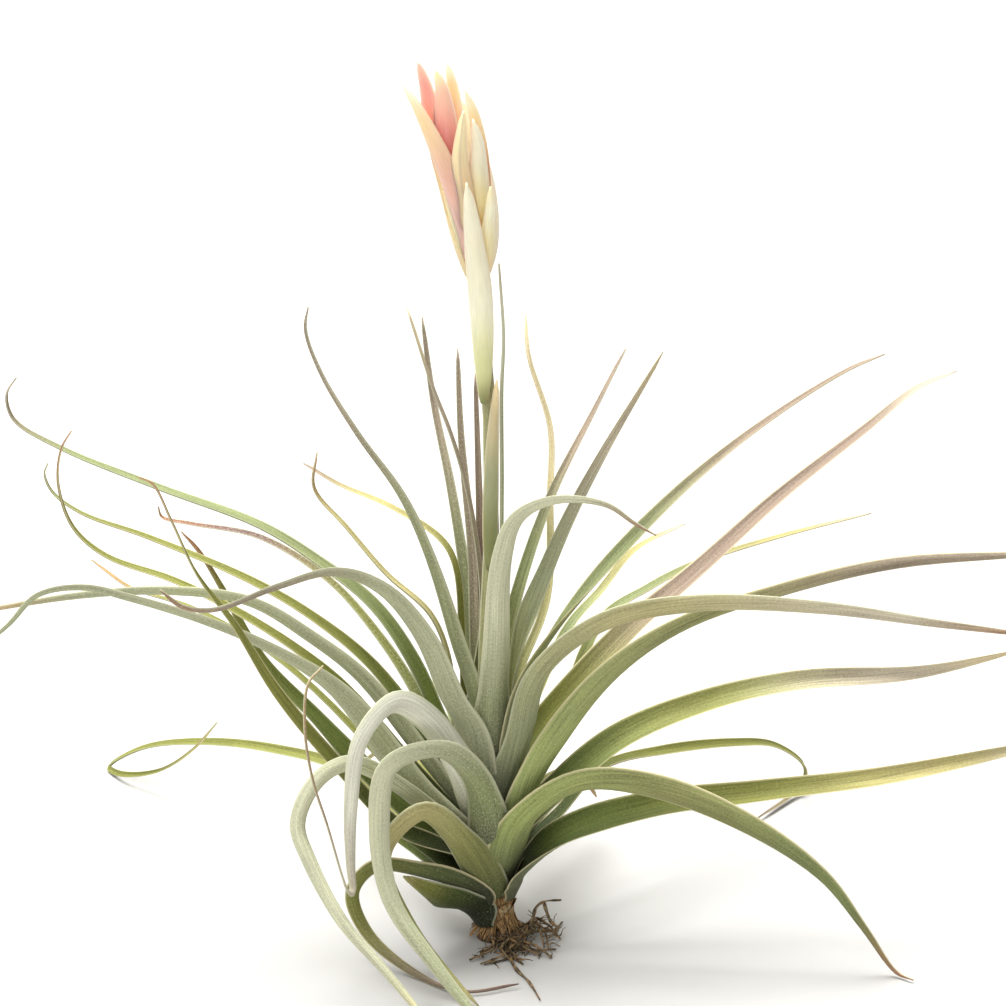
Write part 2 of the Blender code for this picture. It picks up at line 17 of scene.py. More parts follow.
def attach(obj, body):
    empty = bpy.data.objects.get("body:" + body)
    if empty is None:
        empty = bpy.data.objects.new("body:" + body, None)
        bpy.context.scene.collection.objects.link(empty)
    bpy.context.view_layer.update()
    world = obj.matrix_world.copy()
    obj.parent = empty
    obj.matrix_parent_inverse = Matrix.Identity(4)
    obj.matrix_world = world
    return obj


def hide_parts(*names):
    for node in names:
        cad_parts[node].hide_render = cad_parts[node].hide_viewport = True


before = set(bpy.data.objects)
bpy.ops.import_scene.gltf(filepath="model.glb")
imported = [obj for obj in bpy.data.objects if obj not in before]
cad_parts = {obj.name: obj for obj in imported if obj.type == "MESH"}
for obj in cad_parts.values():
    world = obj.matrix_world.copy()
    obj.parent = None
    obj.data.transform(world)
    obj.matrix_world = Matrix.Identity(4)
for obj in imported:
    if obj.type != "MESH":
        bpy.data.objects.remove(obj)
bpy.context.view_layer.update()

# %% [markdown]
# ## Camera, floor and light
# The plant was pictured from 25 degrees above, from far away, lying on a white sweep under broad soft light.
# A long lens from six metres gives that flat perspective. Two kinds of light fall on it: an even white sky,
# which fills every shadow, and two large soft panels. The one above and behind gives the leaves their bright
# upper sides and the floor its faint shadows, and a weaker one models what faces the viewer.

# %% Camera
MM = 0.001
PIXEL = 0.28  # millimetres on the plant
PICTURE = 1006  # pixels to a side
ORIGIN_PIXEL = (497, 935)  # where the middle of the root tuft's underside shows
VIEW_TILT = math.radians(25)
CAMERA_AWAY = 6.0  # metres
SENSOR = 36
FAR_END = 50

across = (PICTURE / 2 - ORIGIN_PIXEL[0]) * PIXEL * MM
up = (ORIGIN_PIXEL[1] - PICTURE / 2) * PIXEL * MM
aim = Vector((across, up * math.sin(VIEW_TILT), up * math.cos(VIEW_TILT)))
camera = bpy.data.objects.new("camera", bpy.data.cameras.new("camera"))
camera.location = aim + Vector((0, -math.cos(VIEW_TILT), math.sin(VIEW_TILT))) * CAMERA_AWAY
camera.rotation_euler = (math.pi / 2 - VIEW_TILT, 0, 0)
camera.data.sensor_width = SENSOR
camera.data.lens = SENSOR * CAMERA_AWAY / (PICTURE * PIXEL * MM)
camera.data.clip_end = FAR_END
bpy.context.collection.objects.link(camera)
bpy.context.scene.camera = camera
print("lens:", round(camera.data.lens), "mm")

# %% Sky
SKY_STRENGTH = 0.46

bpy.context.scene.view_settings.view_transform = "Standard"
world = bpy.data.worlds.new("sky")
world.use_nodes = True
world.node_tree.nodes["Background"].inputs["Color"].default_value = (1, 1, 1, 1)
world.node_tree.nodes["Background"].inputs["Strength"].default_value = SKY_STRENGTH
bpy.context.scene.world = world
print("sky:", SKY_STRENGTH)

# %% Panels
PANEL_SIDE = 1.2
# A panel's watts, its place and the spot that it faces
PANELS = {
    "rear": (68, (-0.3, 0.45, 1.6), (0, 0, 0.05)),
    "front": (11, (-0.5, -1.0, 1.3), (0, 0, 0.1)),
}

for name, (watts, place, target) in PANELS.items():
    light = bpy.data.lights.new(name, "AREA")
    light.energy = watts
    light.size = PANEL_SIDE
    item = bpy.data.objects.new(name, light)
    item.location = place
    item.rotation_euler = (Vector(target) - Vector(place)).to_track_quat("-Z", "Y").to_euler()
    bpy.context.collection.objects.link(item)
    print("panel:", name, watts, "W")

# %% [markdown]
# ## Shader maths in Python
# A finish is a graph of nodes. Writing it node by node hides the idea, so one small class wraps a socket and
# lets Python's operators add the Math nodes, and one method adds any other node from its type, its settings
# and the values of its sockets. The rest of the lesson then reads like formulas.

# %% Wires
class Wire:
    """An output socket that arithmetic can be done with."""

    def __init__(self, finish, socket):
        self.finish = finish
        self.socket = socket

    def maths(self, operation, first, second):
        return self.finish.node("Math", {"operation": operation}, {0: first, 1: second})

    def __add__(self, other):
        return self.maths("ADD", self, other)

    def __sub__(self, other):
        return self.maths("SUBTRACT", self, other)

    def __rsub__(self, other):
        return self.maths("SUBTRACT", other, self)

    def __mul__(self, other):
        return self.maths("MULTIPLY", self, other)

    __radd__ = __add__
    __rmul__ = __mul__


# %% Finishes
OBJECT_PLACE = 3  # output of a Texture Coordinate node
COLOUR, VECTOR, NUMBER = 0, 1, 2  # outputs of an Attribute node
MIX_SHARE, MIX_FIRST, MIX_SECOND, MIX_RESULT = 0, 6, 7, 2  # colour sockets of a Mix node


class Finish:
    """A material whose nodes are added by one method."""

    def __init__(self, name, roughness, **constants):
        self.material = bpy.data.materials.new(name)
        self.material.use_nodes = True
        self.tree = self.material.node_tree
        self.shader = self.tree.nodes["Principled BSDF"]
        self.shader.inputs["Roughness"].default_value = roughness
        for socket, value in constants.items():
            self.shader.inputs[socket.replace("_", " ")].default_value = value

    def node(self, kind, settings=None, inputs=None, output=0):
        """Adds a node: its settings first, then the values or wires of its inputs."""
        made = self.tree.nodes.new("ShaderNode" + kind)
        for key, value in (settings or {}).items():
            setattr(made, key, value)
        for key, value in (inputs or {}).items():
            self.feed(made.inputs[key], value)
        return Wire(self, made.outputs[output])

    def feed(self, socket, value):
        if isinstance(value, Wire):
            self.tree.links.new(value.socket, socket)
        else:
            socket.default_value = value

    def attribute(self, name, output):
        """Reads a note that the vertices carry."""
        return self.node("Attribute", {"attribute_name": name}, output=output)

    def noise(self, vector, scale, detail=3.0, roughness=0.55):
        values = {"Vector": vector, "Scale": scale, "Detail": detail, "Roughness": roughness}
        return self.node("TexNoise", None, values)

    def stretch(self, vector, factors):
        """Scales a vector, so that a pattern read at it is drawn out or pressed together."""
        return self.node("VectorMath", {"operation": "MULTIPLY"}, {0: vector, 1: factors})

    def ramp(self, value, low, high):
        """0 below low, 1 above high and smooth between."""
        values = {"Value": value, "From Min": low, "From Max": high}
        return self.node("MapRange", {"interpolation_type": "SMOOTHSTEP"}, values)

    def mix(self, share, first, second, blend="MIX"):
        kind = {"data_type": "RGBA", "blend_type": blend}
        values = {MIX_SHARE: share, MIX_FIRST: first, MIX_SECOND: second}
        return self.node("Mix", kind, values, MIX_RESULT)

    def bump(self, height, strength, distance):
        values = {"Height": height, "Strength": strength, "Distance": distance}
        self.feed(self.shader.inputs["Normal"], self.node("Bump", None, values))


def linear(red, green, blue):
    """A screen colour of 0 to 255 as light."""
    return tuple(((part / 255 + 0.055) / 1.055) ** 2.4 for part in (red, green, blue)) + (1.0,)


print("a mid grey as light:", round(linear(128, 128, 128)[0], 3))

# %% [markdown]
# ## The floor
# A white paper sweep: one large sheet, matte, with a trace of unevenness so that it isn't a dead flat colour.

# %% Floor
FLOOR_SIDE = 5.0
FLOOR_TONES = (0.492, 0.483, 0.463, 1), (0.523, 0.515, 0.496, 1)

floor_finish = Finish("white_sweep", 0.9)
unevenness = floor_finish.noise(floor_finish.node("TexCoord", output=OBJECT_PLACE), 3.0)
floor_colour = floor_finish.mix(unevenness, *FLOOR_TONES)
floor_finish.feed(floor_finish.shader.inputs["Base Color"], floor_colour)

sheet = bmesh.new()
bmesh.ops.create_grid(sheet, x_segments=1, y_segments=1, size=FLOOR_SIDE / 2)
floor_mesh = bpy.data.meshes.new("floor")
sheet.to_mesh(floor_mesh)
sheet.free()
floor = bpy.data.objects.new("floor", floor_mesh)
floor_mesh.materials.append(floor_finish.material)
bpy.context.collection.objects.link(floor)
print("floor:", FLOOR_SIDE, "m wide")

# %% [markdown]
# ## How a leaf is shaped
# A leaf of this plant is a long fleshy blade: thick along its middle, thin and rounded at both margins, bent
# into a channel along its whole length. It could be a flat strip with a Solidify modifier, but then the
# margins would be square and both faces would share one colour. Here a grid is wrapped into a tube whose
# section is a flat oval, so the blade is closed by itself. The tube follows a smooth curve through the leaf's
# route, and every vertex keeps three notes for the finish: its own tint, its place on the blade and its
# distance from the margin.

# %% Curve through a route
def smooth_curve(points, steps):
    """Reads points from a centripetal curve that goes through every given point."""
    ends = [points[0] * 2 - points[1], *points, points[-1] * 2 - points[-2]]
    places = [points[0]]
    for p0, p1, p2, p3 in zip(ends, ends[1:], ends[2:], ends[3:]):
        t1 = math.sqrt((p1 - p0).length)
        t2 = t1 + math.sqrt((p2 - p1).length)
        t3 = t2 + math.sqrt((p3 - p2).length)
        for step in range(1, steps + 1):
            t = t1 + (t2 - t1) * step / steps
            a1 = p0.lerp(p1, t / t1)
            a2 = p1.lerp(p2, (t - t1) / (t2 - t1))
            a3 = p2.lerp(p3, (t - t2) / (t3 - t2))
            b1 = a1.lerp(a2, t / t2)
            b2 = a2.lerp(a3, (t - t1) / (t3 - t1))
            places.append(b1.lerp(b2, (t - t1) / (t2 - t1)))
    return places


def ease(value):
    value = min(max(value, 0), 1)
    return value * value * (3 - 2 * value)


def in_space(point, bearing=0.0):
    """Turns a route point of the viewer's plane into a place in space."""
    across, up = point[:2]
    behind = point[2] if len(point) == 3 else across * math.tan(math.radians(bearing))
    return Vector((across, behind, (up - behind * math.sin(VIEW_TILT)) / math.cos(VIEW_TILT)))


arch = smooth_curve([in_space(point) for point in ((0, 0), (5, 8), (10, 0))], 4)
print("an arch through 3 points has", len(arch), "places")

# %% Frames along a curve
TURN_SHARES = (0.22, 0.5, 1)  # shares of the length at which a blade reaches its three turns


def turn_at(turns, share):
    """Eases from one of a blade's turns to the next."""
    knots = [(0, 0), *zip(TURN_SHARES, turns)]
    for (low, before), (high, after) in zip(knots, knots[1:]):
        if share <= high:
            break
    return before + (after - before) * ease((share - low) / (high - low))


def frames_along(places, facing, turns=(0, 0, 0)):
    """For each place: the distance from the start, the place, the way across and the way that is up."""
    distances = [0.0]
    for before, after in zip(places, places[1:]):
        distances.append(distances[-1] + (after - before).length)
    last = len(places) - 1
    frames = []
    for index, place in enumerate(places):
        along = (places[min(index + 1, last)] - places[max(index - 1, 0)]).normalized()
        facing = (facing - along * facing.dot(along)).normalized()
        angle = math.radians(turn_at(turns, distances[index] / distances[-1]))
        upper = Matrix.Rotation(angle, 3, along) @ facing
        frames.append((distances[index], place, along.cross(upper), upper))
    return frames


print("the arch is", round(frames_along(arch, Vector((0, 1, 0)))[-1][0], 1), "mm long")

# %% A closed blade
CHANNEL_POWER = 1.7  # how far the middle of a channel is flat
OVAL_POWER = 0.75  # below 1 makes the section fuller than an ellipse
MARGIN_HALF = 3.0  # a narrower blade's pale line thins with it
FACE_EDGE = 0.3  # keeps the pale line off both faces of a thin blade
BLADE_APART = 17.0  # so that every blade of a mesh reads its own part of a pattern
WELD = 0.0005


class Sheaf:
    """A mesh that blades and strands are added to, with the notes that its finish reads."""

    def __init__(self):
        self.mesh = bmesh.new()
        self.tint = self.mesh.verts.layers.float_color.new("tint")
        self.place = self.mesh.verts.layers.float_vector.new("place")
        self.edge = self.mesh.verts.layers.float.new("edge")
        self.uv = self.mesh.loops.layers.uv.new("UVMap")
        self.count = 0

    def wrap(self, frames, sides, section):
        """Wraps a grid round the frames. section gives a ring's half width, half depth, channel and tint."""
        rings = [frames[0], *frames, frames[-1]]
        last = len(rings) - 1
        grid = bmesh.ops.create_grid(self.mesh, x_segments=sides, y_segments=last, size=1, calc_uvs=True)
        length = frames[-1][0]
        for vert in grid["verts"]:
            index = round((vert.co.y + 1) / 2 * last)
            angle = math.pi * (vert.co.x + 1)
            distance, middle, across, upper = rings[index]
            half, depth, channel, tint_at = section(distance, length)
            if index in (0, last):
                half = depth = 0.0
            side = math.cos(angle)
            bulge = math.copysign(abs(math.sin(angle)) ** OVAL_POWER, math.sin(angle))
            lift = half * channel * abs(side) ** CHANNEL_POWER + depth * bulge
            vert.co = (middle + across * (half * side) + upper * lift) * MM
            vert[self.tint] = tint_at(side, bulge)
            vert[self.place] = Vector((half * side, distance, self.count * BLADE_APART))
            vert[self.edge] = max(half, MARGIN_HALF) * (1 - abs(side)) + FACE_EDGE * abs(bulge)
        bmesh.ops.remove_doubles(self.mesh, verts=grid["verts"], dist=WELD * MM)
        self.count += 1

    def finish(self, name, finish, slot, *nodes):
        """Closes the mesh into a piece that rides on the plant and stands for its solids."""
        bmesh.ops.recalc_face_normals(self.mesh, faces=self.mesh.faces[:])
        for face in self.mesh.faces:
            face.smooth = True
        mesh = bpy.data.meshes.new(name)
        self.mesh.to_mesh(mesh)
        self.mesh.free()
        mesh.materials.append(finish.material)
        piece = bpy.data.objects.new(name, mesh)
        bpy.context.collection.objects.link(piece)
        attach(piece, "root")
        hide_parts(*nodes)
        return piece


# %% [markdown]
# ## What a leaf is coloured like
# Every leaf is clothed in tiny silver scales, denser on its outer side. Young skin shows green through
# them, older leaves turn olive and mauve, and each leaf dries to brown at its thread-like tip. So a leaf gets
# five tones, from its foot to its tip, and a share of frost, the silver scales, for its inner and outer side.

# %% Tones
TONES = {
    "pine": linear(40, 48, 20),
    "moss": linear(68, 79, 32),
    "leaf": linear(98, 111, 50),
    "lime": linear(134, 148, 64),
    "olive": linear(122, 124, 58),
    "sage": linear(122, 130, 86),
    "silver": linear(152, 157, 122),
    "frost": linear(198, 198, 168),
    "khaki": linear(170, 160, 106),
    "mauve": linear(138, 120, 104),
    "ash": linear(190, 178, 156),
    "pearl": linear(224, 222, 208),
    "beige": linear(198, 182, 144),
    "cream": linear(226, 214, 172),
    "tan": linear(176, 138, 94),
    "rust": linear(140, 96, 68),
    "plum": linear(104, 78, 74),
}
TONE_STOPS = (0.0, 0.16, 0.45, 0.8, 1.0)
print("tones:", ", ".join(TONES))


def mixed(first, second, share):
    return tuple(a + (b - a) * share for a, b in zip(first, second))


def tone_at(names, share):
    """Reads a leaf's colour at a share of its length from the names of its five tones."""
    tones = [TONES[name] for name in names.split()]
    for low, high, first, second in zip(TONE_STOPS, TONE_STOPS[1:], tones, tones[1:]):
        if share <= high:
            break
    return mixed(first, second, ease((share - low) / (high - low)))


# %% [markdown]
# ## The velvet of the leaves
# The leaf finish starts from the tint of each vertex. Fine streaks run along the blade, because the skin's
# cells lie in rows. On top come the scales: a fine grain that is pale where scales lie dense and lets the
# skin through between them. Both margins carry a pale line, a painted rim highlight for the light that the
# fringe of scales catches. The surface is matt, with a soft sheen at grazing angles as on velvet, and the
# grain and the streaks also raise the surface a little.

# %% Velvet finish
SHEEN_TINT = (1.0, 0.97, 0.86, 1.0)


def velvet(name, streaks, grain, sheen, rim_highlight_width, rim_highlight_share, rim_highlight_tone):
    finish = Finish(name, 0.7, Sheen_Weight=sheen, Sheen_Roughness=0.4, Sheen_Tint=SHEEN_TINT,
                    Specular_IOR_Level=0.25)
    tint = finish.attribute("tint", COLOUR)
    place = finish.attribute("place", VECTOR)
    edge = finish.attribute("edge", NUMBER)
    rows = finish.noise(finish.stretch(place, (2.6, 0.03, 1)), 1.0, 4.0, 0.7)
    scales = finish.noise(finish.stretch(place, (2.2, 1.4, 1)), 1.0, 4.0, 0.8)
    patches = finish.noise(finish.stretch(place, (0.25, 0.05, 1)), 1.0, 2.0)
    shade = (rows - 0.5) * streaks + (patches - 0.5) * 0.6 + (scales - 0.5) * 1.2 + 1.0
    skin = finish.mix(1.0, tint, shade, "MULTIPLY")
    cover = finish.ramp(scales, 0.5, 0.66) * grain
    scaly = finish.mix(cover, skin, TONES["frost"])
    # painted rim highlight: a pale line along both margins for the light that the fringe of scales catches
    margin = (1 - finish.ramp(edge, 0.1, rim_highlight_width)) * rim_highlight_share
    colour = finish.mix(margin, scaly, TONES[rim_highlight_tone])
    finish.feed(finish.shader.inputs["Base Color"], colour)
    finish.feed(finish.shader.inputs["Roughness"], (scales - 0.5) * 0.3 + 0.68)
    finish.bump(scales * 0.7 + rows, 0.35, 0.0005)
    return finish


velvets = {
    "green_leaves": velvet("green_velvet", 1.8, 0.12, 0.06, 0.9, 0.6, "frost"),
    "silver_leaves": velvet("silver_velvet", 1.4, 0.55, 0.14, 1.4, 0.7, "frost"),
    "olive_leaves": velvet("olive_velvet", 1.8, 0.12, 0.06, 0.9, 0.65, "cream"),
}
print("leaf finishes:", ", ".join(velvets))

# %% [markdown]
# ## The leaves
# Each leaf leaves the stem with a foot that clasps it, runs out along its own bearing and thins into a
# thread. A row below gives a leaf's finish, its height on the stem, the bearing of its seat, the bearing that
# it grows along, its full width, how far its face turns, and the points of its route. They are the values
# that its solid was made from, so the finer blade lies exactly in it. A second table gives its colours.

# %% The plant's growth line
STEM_BOTTOM = 3.7
STEM_TOP = 60.0
STEM_FOOT_RADIUS = 5.2
STEM_TOP_RADIUS = 2.9
AXIS = [(0, 0, 0), (-2, 0, 30), (-3.5, 0, 60), (-3, 0, 90), (-1.5, 0, 125), (-2, 0, 160), (-4.5, 0, 195),
        (-9, 0, 222)]


def axis_at(height):
    """Returns the place on the growth line at a height."""
    for low, high in zip(AXIS, AXIS[1:]):
        if height <= high[2]:
            break
    return Vector(low).lerp(Vector(high), (height - low[2]) / (high[2] - low[2]))


def stem_radius(height):
    part = (height - STEM_BOTTOM) / (STEM_TOP - STEM_BOTTOM)
    return STEM_FOOT_RADIUS + (STEM_TOP_RADIUS - STEM_FOOT_RADIUS) * part


print("the stem leans to", tuple(round(part, 1) for part in axis_at(STEM_TOP)))

# %% Routes of the leaves
# A leaf: name, slot, height on the stem, bearing of its seat, bearing that it grows along, full width,
# the three turns of its face, and its route of (across, up) in the viewer's plane, or (across, up, behind)
LEAVES = [
    ("leaf_right_01", "silver_leaves", 52, 292, 0, 11, (0, 0, 0),
     [(-0.5, 60, -7), (0.5, 79, -11), (2, 105, -13), (6, 116, -14), (16, 121, -17), (30, 120, -21),
      (38, 115, -24), (44, 112, -26)]),
    ("leaf_right_02", "green_leaves", 55, 57, 0, 5.4, (0, 0, -30),
     [(2, 77, 9.6), (7, 99, 13.4), (15, 122, 20.4), (27, 146, 32), (36, 164, 43)]),
    ("leaf_right_03", "green_leaves", 49, 10, 0, 7.6, (0, 100, 120),
     [(5.5, 74, 2), (10, 94, 4), (18, 114, 8), (29, 135, 14), (46, 163, 21)]),
    ("leaf_right_04", "green_leaves", 46, 68, 0, 3.2, (0, 0, 0),
     [(6, 73, 14), (14, 94, 24), (15, 123, 36), (15, 142, 46), (9, 162, 56), (8, 174, 64)]),
    ("leaf_right_05", "olive_leaves", 44, 331, 0, 7.6, (5, 60, 30),
     [(6, 66, -5), (13, 80, -5.5), (29, 101, -6.5), (51, 124, -7), (73, 142, -8), (96, 157, -9),
      (107, 162, -10)]),
    ("leaf_right_06", "olive_leaves", 36, 64, 62, 4.4, (0, 0, 0), [(19, 84), (29, 96), (38, 107), (53, 115)]),
    ("leaf_right_07", "olive_leaves", 41.2, 24, 33, 10, (30, 15, 15),
     [(10, 54, 7.8), (22, 69), (37, 85), (57, 102), (79, 122), (103, 141), (118, 153), (129, 158)]),
    ("leaf_right_08", "olive_leaves", 33, 46, 48, 5, (0, 0, 0),
     [(14, 50), (29, 87), (43, 97), (57, 104), (79, 111), (106, 118)]),
    ("leaf_right_09", "olive_leaves", 29.4, 326, 0, 10, (-45, -30, -75),
     [(6.6, 34, -6.3), (14, 51, -9.5), (30, 71.5, -10.5), (50, 85.5, -9), (79, 96, -7), (111, 104, -6),
      (152, 107, -6)]),
    ("leaf_right_10", "green_leaves", 37.5, 310, 0, 12, (-5, -30, -30),
     [(5, 45, -4.8), (8, 56, -8), (13, 73, -12.5), (31, 87, -15.5), (57, 92, -19), (90, 91, -22),
      (122, 87, -25), (149, 84, -29)]),
    ("leaf_right_11", "olive_leaves", 23.5, 355, 6, 11.6, (45, 45, 120),
     [(9.6, 30, 2.6), (18, 40.5, 2.4), (34, 54.5), (57, 64.5), (84, 71), (117, 74), (146, 80)]),
    ("leaf_right_12", "olive_leaves", 15.5, 36, 44, 5.2, (0, 40, 40),
     [(18, 34), (29, 46), (47, 51), (66, 53), (79, 52, 80), (87, 46, 88), (86, 41, 90), (74, 32, 73)]),
    ("leaf_right_13", "olive_leaves", 12.5, 345, 0, 12, (45, 45, 90),
     [(7.5, 17, -2.5), (20, 28, -1), (43, 35.5, 0), (73, 39.5, 0), (106, 44, 0), (143, 52, 0),
      (160, 56, 0)]),
    ("leaf_right_14", "olive_leaves", 18.5, 303, 0, 11.4, (-15, -45, 0),
     [(8, 32, -12.5), (23, 42, -13), (45, 41, -13.5), (68, 32, -16), (90, 17, -21), (102, 2, -24),
      (111, -10, -27), (116, -12, -30.5)]),
    ("leaf_left_01", "silver_leaves", 46, 240, 0, 11, (0, 0, 0),
     [(-8.7, 57.5, -8.8), (-13, 65, -10.5), (-21, 83, -12), (-32, 96, -15), (-45, 101, -20),
      (-61, 97, -26), (-78, 91, -33), (-87, 92, -37), (-93, 97, -40)]),
    ("leaf_left_02", "silver_leaves", 54, 205, 196, 6.2, (30, 15, 0),
     [(-6, 62, -4), (-12, 84), (-20, 108), (-27, 123), (-39, 140), (-49, 157), (-53, 169), (-52, 175)]),
    ("leaf_left_03", "olive_leaves", 48.5, 141, 0, 3.6, (0, 0, 0),
     [(-10, 78, 8), (-12, 104, 10), (-16, 111, 12), (-30, 120, 18), (-44, 126, 25), (-54, 132, 31)]),
    ("leaf_left_04", "green_leaves", 43.5, 176, 168, 4.6, (0, 0, -15),
     [(-12, 58), (-14, 78), (-19, 90), (-31, 101), (-42, 114), (-51, 125), (-50, 135)]),
    ("leaf_left_05", "silver_leaves", 45, 118, 112, 5, (0, 0, 0),
     [(-7, 74), (-9, 99), (-13, 125), (-18, 150), (-21, 173)]),
    ("leaf_left_06", "green_leaves", 56, 152, 0, 2.8, (0, 0, 0),
     [(-4.5, 90, 4.5), (-8, 122, 7), (-13, 140, 11), (-18, 153, 15), (-25, 175, 21)]),
    ("leaf_left_07", "silver_leaves", 51, 98, 0, 4.2, (0, 0, 0),
     [(-6, 80, 12), (-7, 108, 20), (-10, 139, 28), (-11, 164, 36)]),
    ("leaf_left_08", "green_leaves", 57, 94, 0, 3.4, (0, 0, 0),
     [(-2, 78, 7), (-4, 94, 9), (-5, 125, 13), (-6, 157, 18)]),
    ("leaf_left_09", "green_leaves", 40, 150, 162, 7.6, (0, 15, 15),
     [(-15, 55), (-24, 76), (-35, 92), (-50, 104), (-66, 114), (-95, 125), (-122, 136), (-135, 144),
      (-137, 151), (-134, 156)]),
    ("leaf_left_10", "silver_leaves", 33.8, 136, 150, 5.2, (0, 15, 0),
     [(-22, 66), (-33, 83), (-47, 99), (-66, 111), (-86, 115), (-94, 117), (-95, 120)]),
    ("leaf_left_11", "olive_leaves", 37, 162, 170, 6.2, (-15, 0, 15),
     [(-16, 49), (-35, 75), (-52, 89), (-69, 99), (-97, 111), (-116, 118), (-124, 124), (-126, 129),
      (-125, 132)]),
    ("leaf_left_12", "olive_leaves", 31.4, 180, 176, 5.6, (-30, -15, 0),
     [(-18, 40), (-43, 69), (-55, 79), (-72, 90), (-90, 99), (-109, 106), (-118, 114), (-122, 126),
      (-121, 136), (-118, 141)]),
    ("leaf_left_13", "silver_leaves", 34.8, 203, 184, 7.4, (45, 45, 60),
     [(-16, 43), (-37, 71), (-52, 83), (-69, 93), (-91, 96), (-115, 95), (-148, 90)]),
    ("leaf_left_14", "silver_leaves", 28.4, 215, 190, 10.4, (45, 15, 30),
     [(-19, 36, -6), (-44, 67), (-62, 79), (-80, 87), (-102, 94), (-115, 97), (-127, 95), (-135, 87),
      (-145, 79)]),
    ("leaf_left_15", "olive_leaves", 20, 204, 196, 7.4, (-45, -60, -30),
     [(-27, 29), (-46, 49), (-62, 69), (-73, 87), (-83, 101), (-90, 116), (-95, 126), (-99, 128)]),
    ("leaf_left_16", "green_leaves", 25, 168, 168, 7.4, (-90, -30, -15),
     [(-16, 30), (-40, 50), (-52, 62), (-66, 77), (-77, 97), (-83, 107), (-88, 113)]),
    ("leaf_left_17", "green_leaves", 22, 150, 150, 4, (0, 0, 0),
     [(-15, 26), (-30, 46), (-60, 76), (-85, 91), (-103, 97), (-109, 101), (-114, 105)]),
    ("leaf_left_18", "green_leaves", 19.3, 130, 135, 5.2, (-15, -20, 0),
     [(-15, 25), (-41, 45), (-62, 51), (-83, 53), (-101, 51, 101), (-110, 46, 106), (-107, 44, 100),
      (-96, 45, 88), (-85, 52, 74), (-79, 59, 68)]),
    ("leaf_curl_01", "silver_leaves", 32, 260, 0, 10.6, (40, 60, -15),
     [(-4.4, 35, -9), (-9, 46.5, -12), (-18, 60, -15.5), (-28, 65, -24), (-37, 55, -32), (-40, 37, -36),
      (-40.2, 20, -37.4), (-39.8, 13.4, -38.6), (-41.2, 13.2, -42), (-47, 32, -43), (-51, 45, -44),
      (-53, 59, -43), (-52, 71, -40), (-48, 76, -37)]),
    ("leaf_curl_02", "silver_leaves", 25.8, 276, 0, 10.6, (-15, 15, 45),
     [(-1.5, 26, -10.5), (-6, 43, -15), (-15, 51, -20), (-29, 47, -24), (-32, 31, -28), (-29, 11, -36),
      (-18, -6, -47), (-7, -20, -57), (1, -29, -70.5)]),
    ("leaf_curl_03", "green_leaves", 14, 260, 0, 10, (15, 15, 0),
     [(-10, 26, -14), (-20, 34, -17.5), (-29, 27, -20), (-31, 20, -22.5), (-23, 3, -30), (-5, -19, -46.6)]),
    ("leaf_curl_04", "green_leaves", 23.2, 230, 0, 7.4, (30, 90, 120),
     [(-12, 28, -6), (-27, 41, -13), (-41, 48, -22), (-50, 43, -28), (-55, 32, -32), (-52, 22, -36),
      (-43, 5, -44), (-31, -9, -51), (-16, -27, -66)]),
    ("leaf_curl_05", "olive_leaves", 11.5, 243, 0, 7, (30, 45, 75),
     [(-22, 18, -12.5), (-34, 19, -14), (-40, 12, -16), (-36, 1, -19), (-23, -10, -27.5),
      (-9, -15, -38.5), (6, -13, -34)]),
    ("leaf_low_01", "green_leaves", 4.6, 214, 0, 14, (30, 52, 56), [(-14, 9.2, -9.9), (-26.2, 16.8, -13.4)]),
    ("leaf_low_02", "green_leaves", 11, 160, 0, 8.5, (0, -40, -40), [(-19, 22, 8), (-30, 28, 12)]),
    ("leaf_low_03", "green_leaves", 16, 190, 0, 9, (-20, -60, -60), [(-18, 24, -1.5), (-28, 29, 0)]),
    ("leaf_back_01", "green_leaves", 19, 68, 0, 8.6, (0, 0, 0),
     [(4, 33, 15), (8, 56, 39), (11, 60, 66), (13, 46, 90)]),
    ("leaf_back_02", "green_leaves", 26.5, 86, 0, 9.4, (0, 0, 0),
     [(0.8, 35, 15), (1, 59, 40), (1, 68, 75), (0, 56, 103)]),
    ("leaf_back_03", "green_leaves", 29, 116, 0, 8.6, (0, 0, 0),
     [(-6.5, 37, 14), (-12, 62, 38), (-20, 70, 64), (-24, 60, 84)]),
    ("leaf_back_04", "green_leaves", 15, 112, 0, 7.4, (0, 0, 0),
     [(-5, 28, 14), (-20, 47, 34), (-32, 51, 52), (-40, 45, 64)]),
    ("leaf_back_05", "green_leaves", 9.5, 68, 0, 7.4, (0, 0, 0),
     [(5, 26, 14.5), (14, 42, 34), (22, 45, 50), (28, 38, 62)]),
]

# Share of the length at which a blade has thinned to its thread, where that isn't its very tip
THREADS = {"leaf_curl_01": 0.66, "leaf_curl_05": 0.8, "leaf_left_15": 0.8, "leaf_left_18": 0.85}
print("routes:", len(LEAVES), "of which", len(THREADS), "end in a long thread")
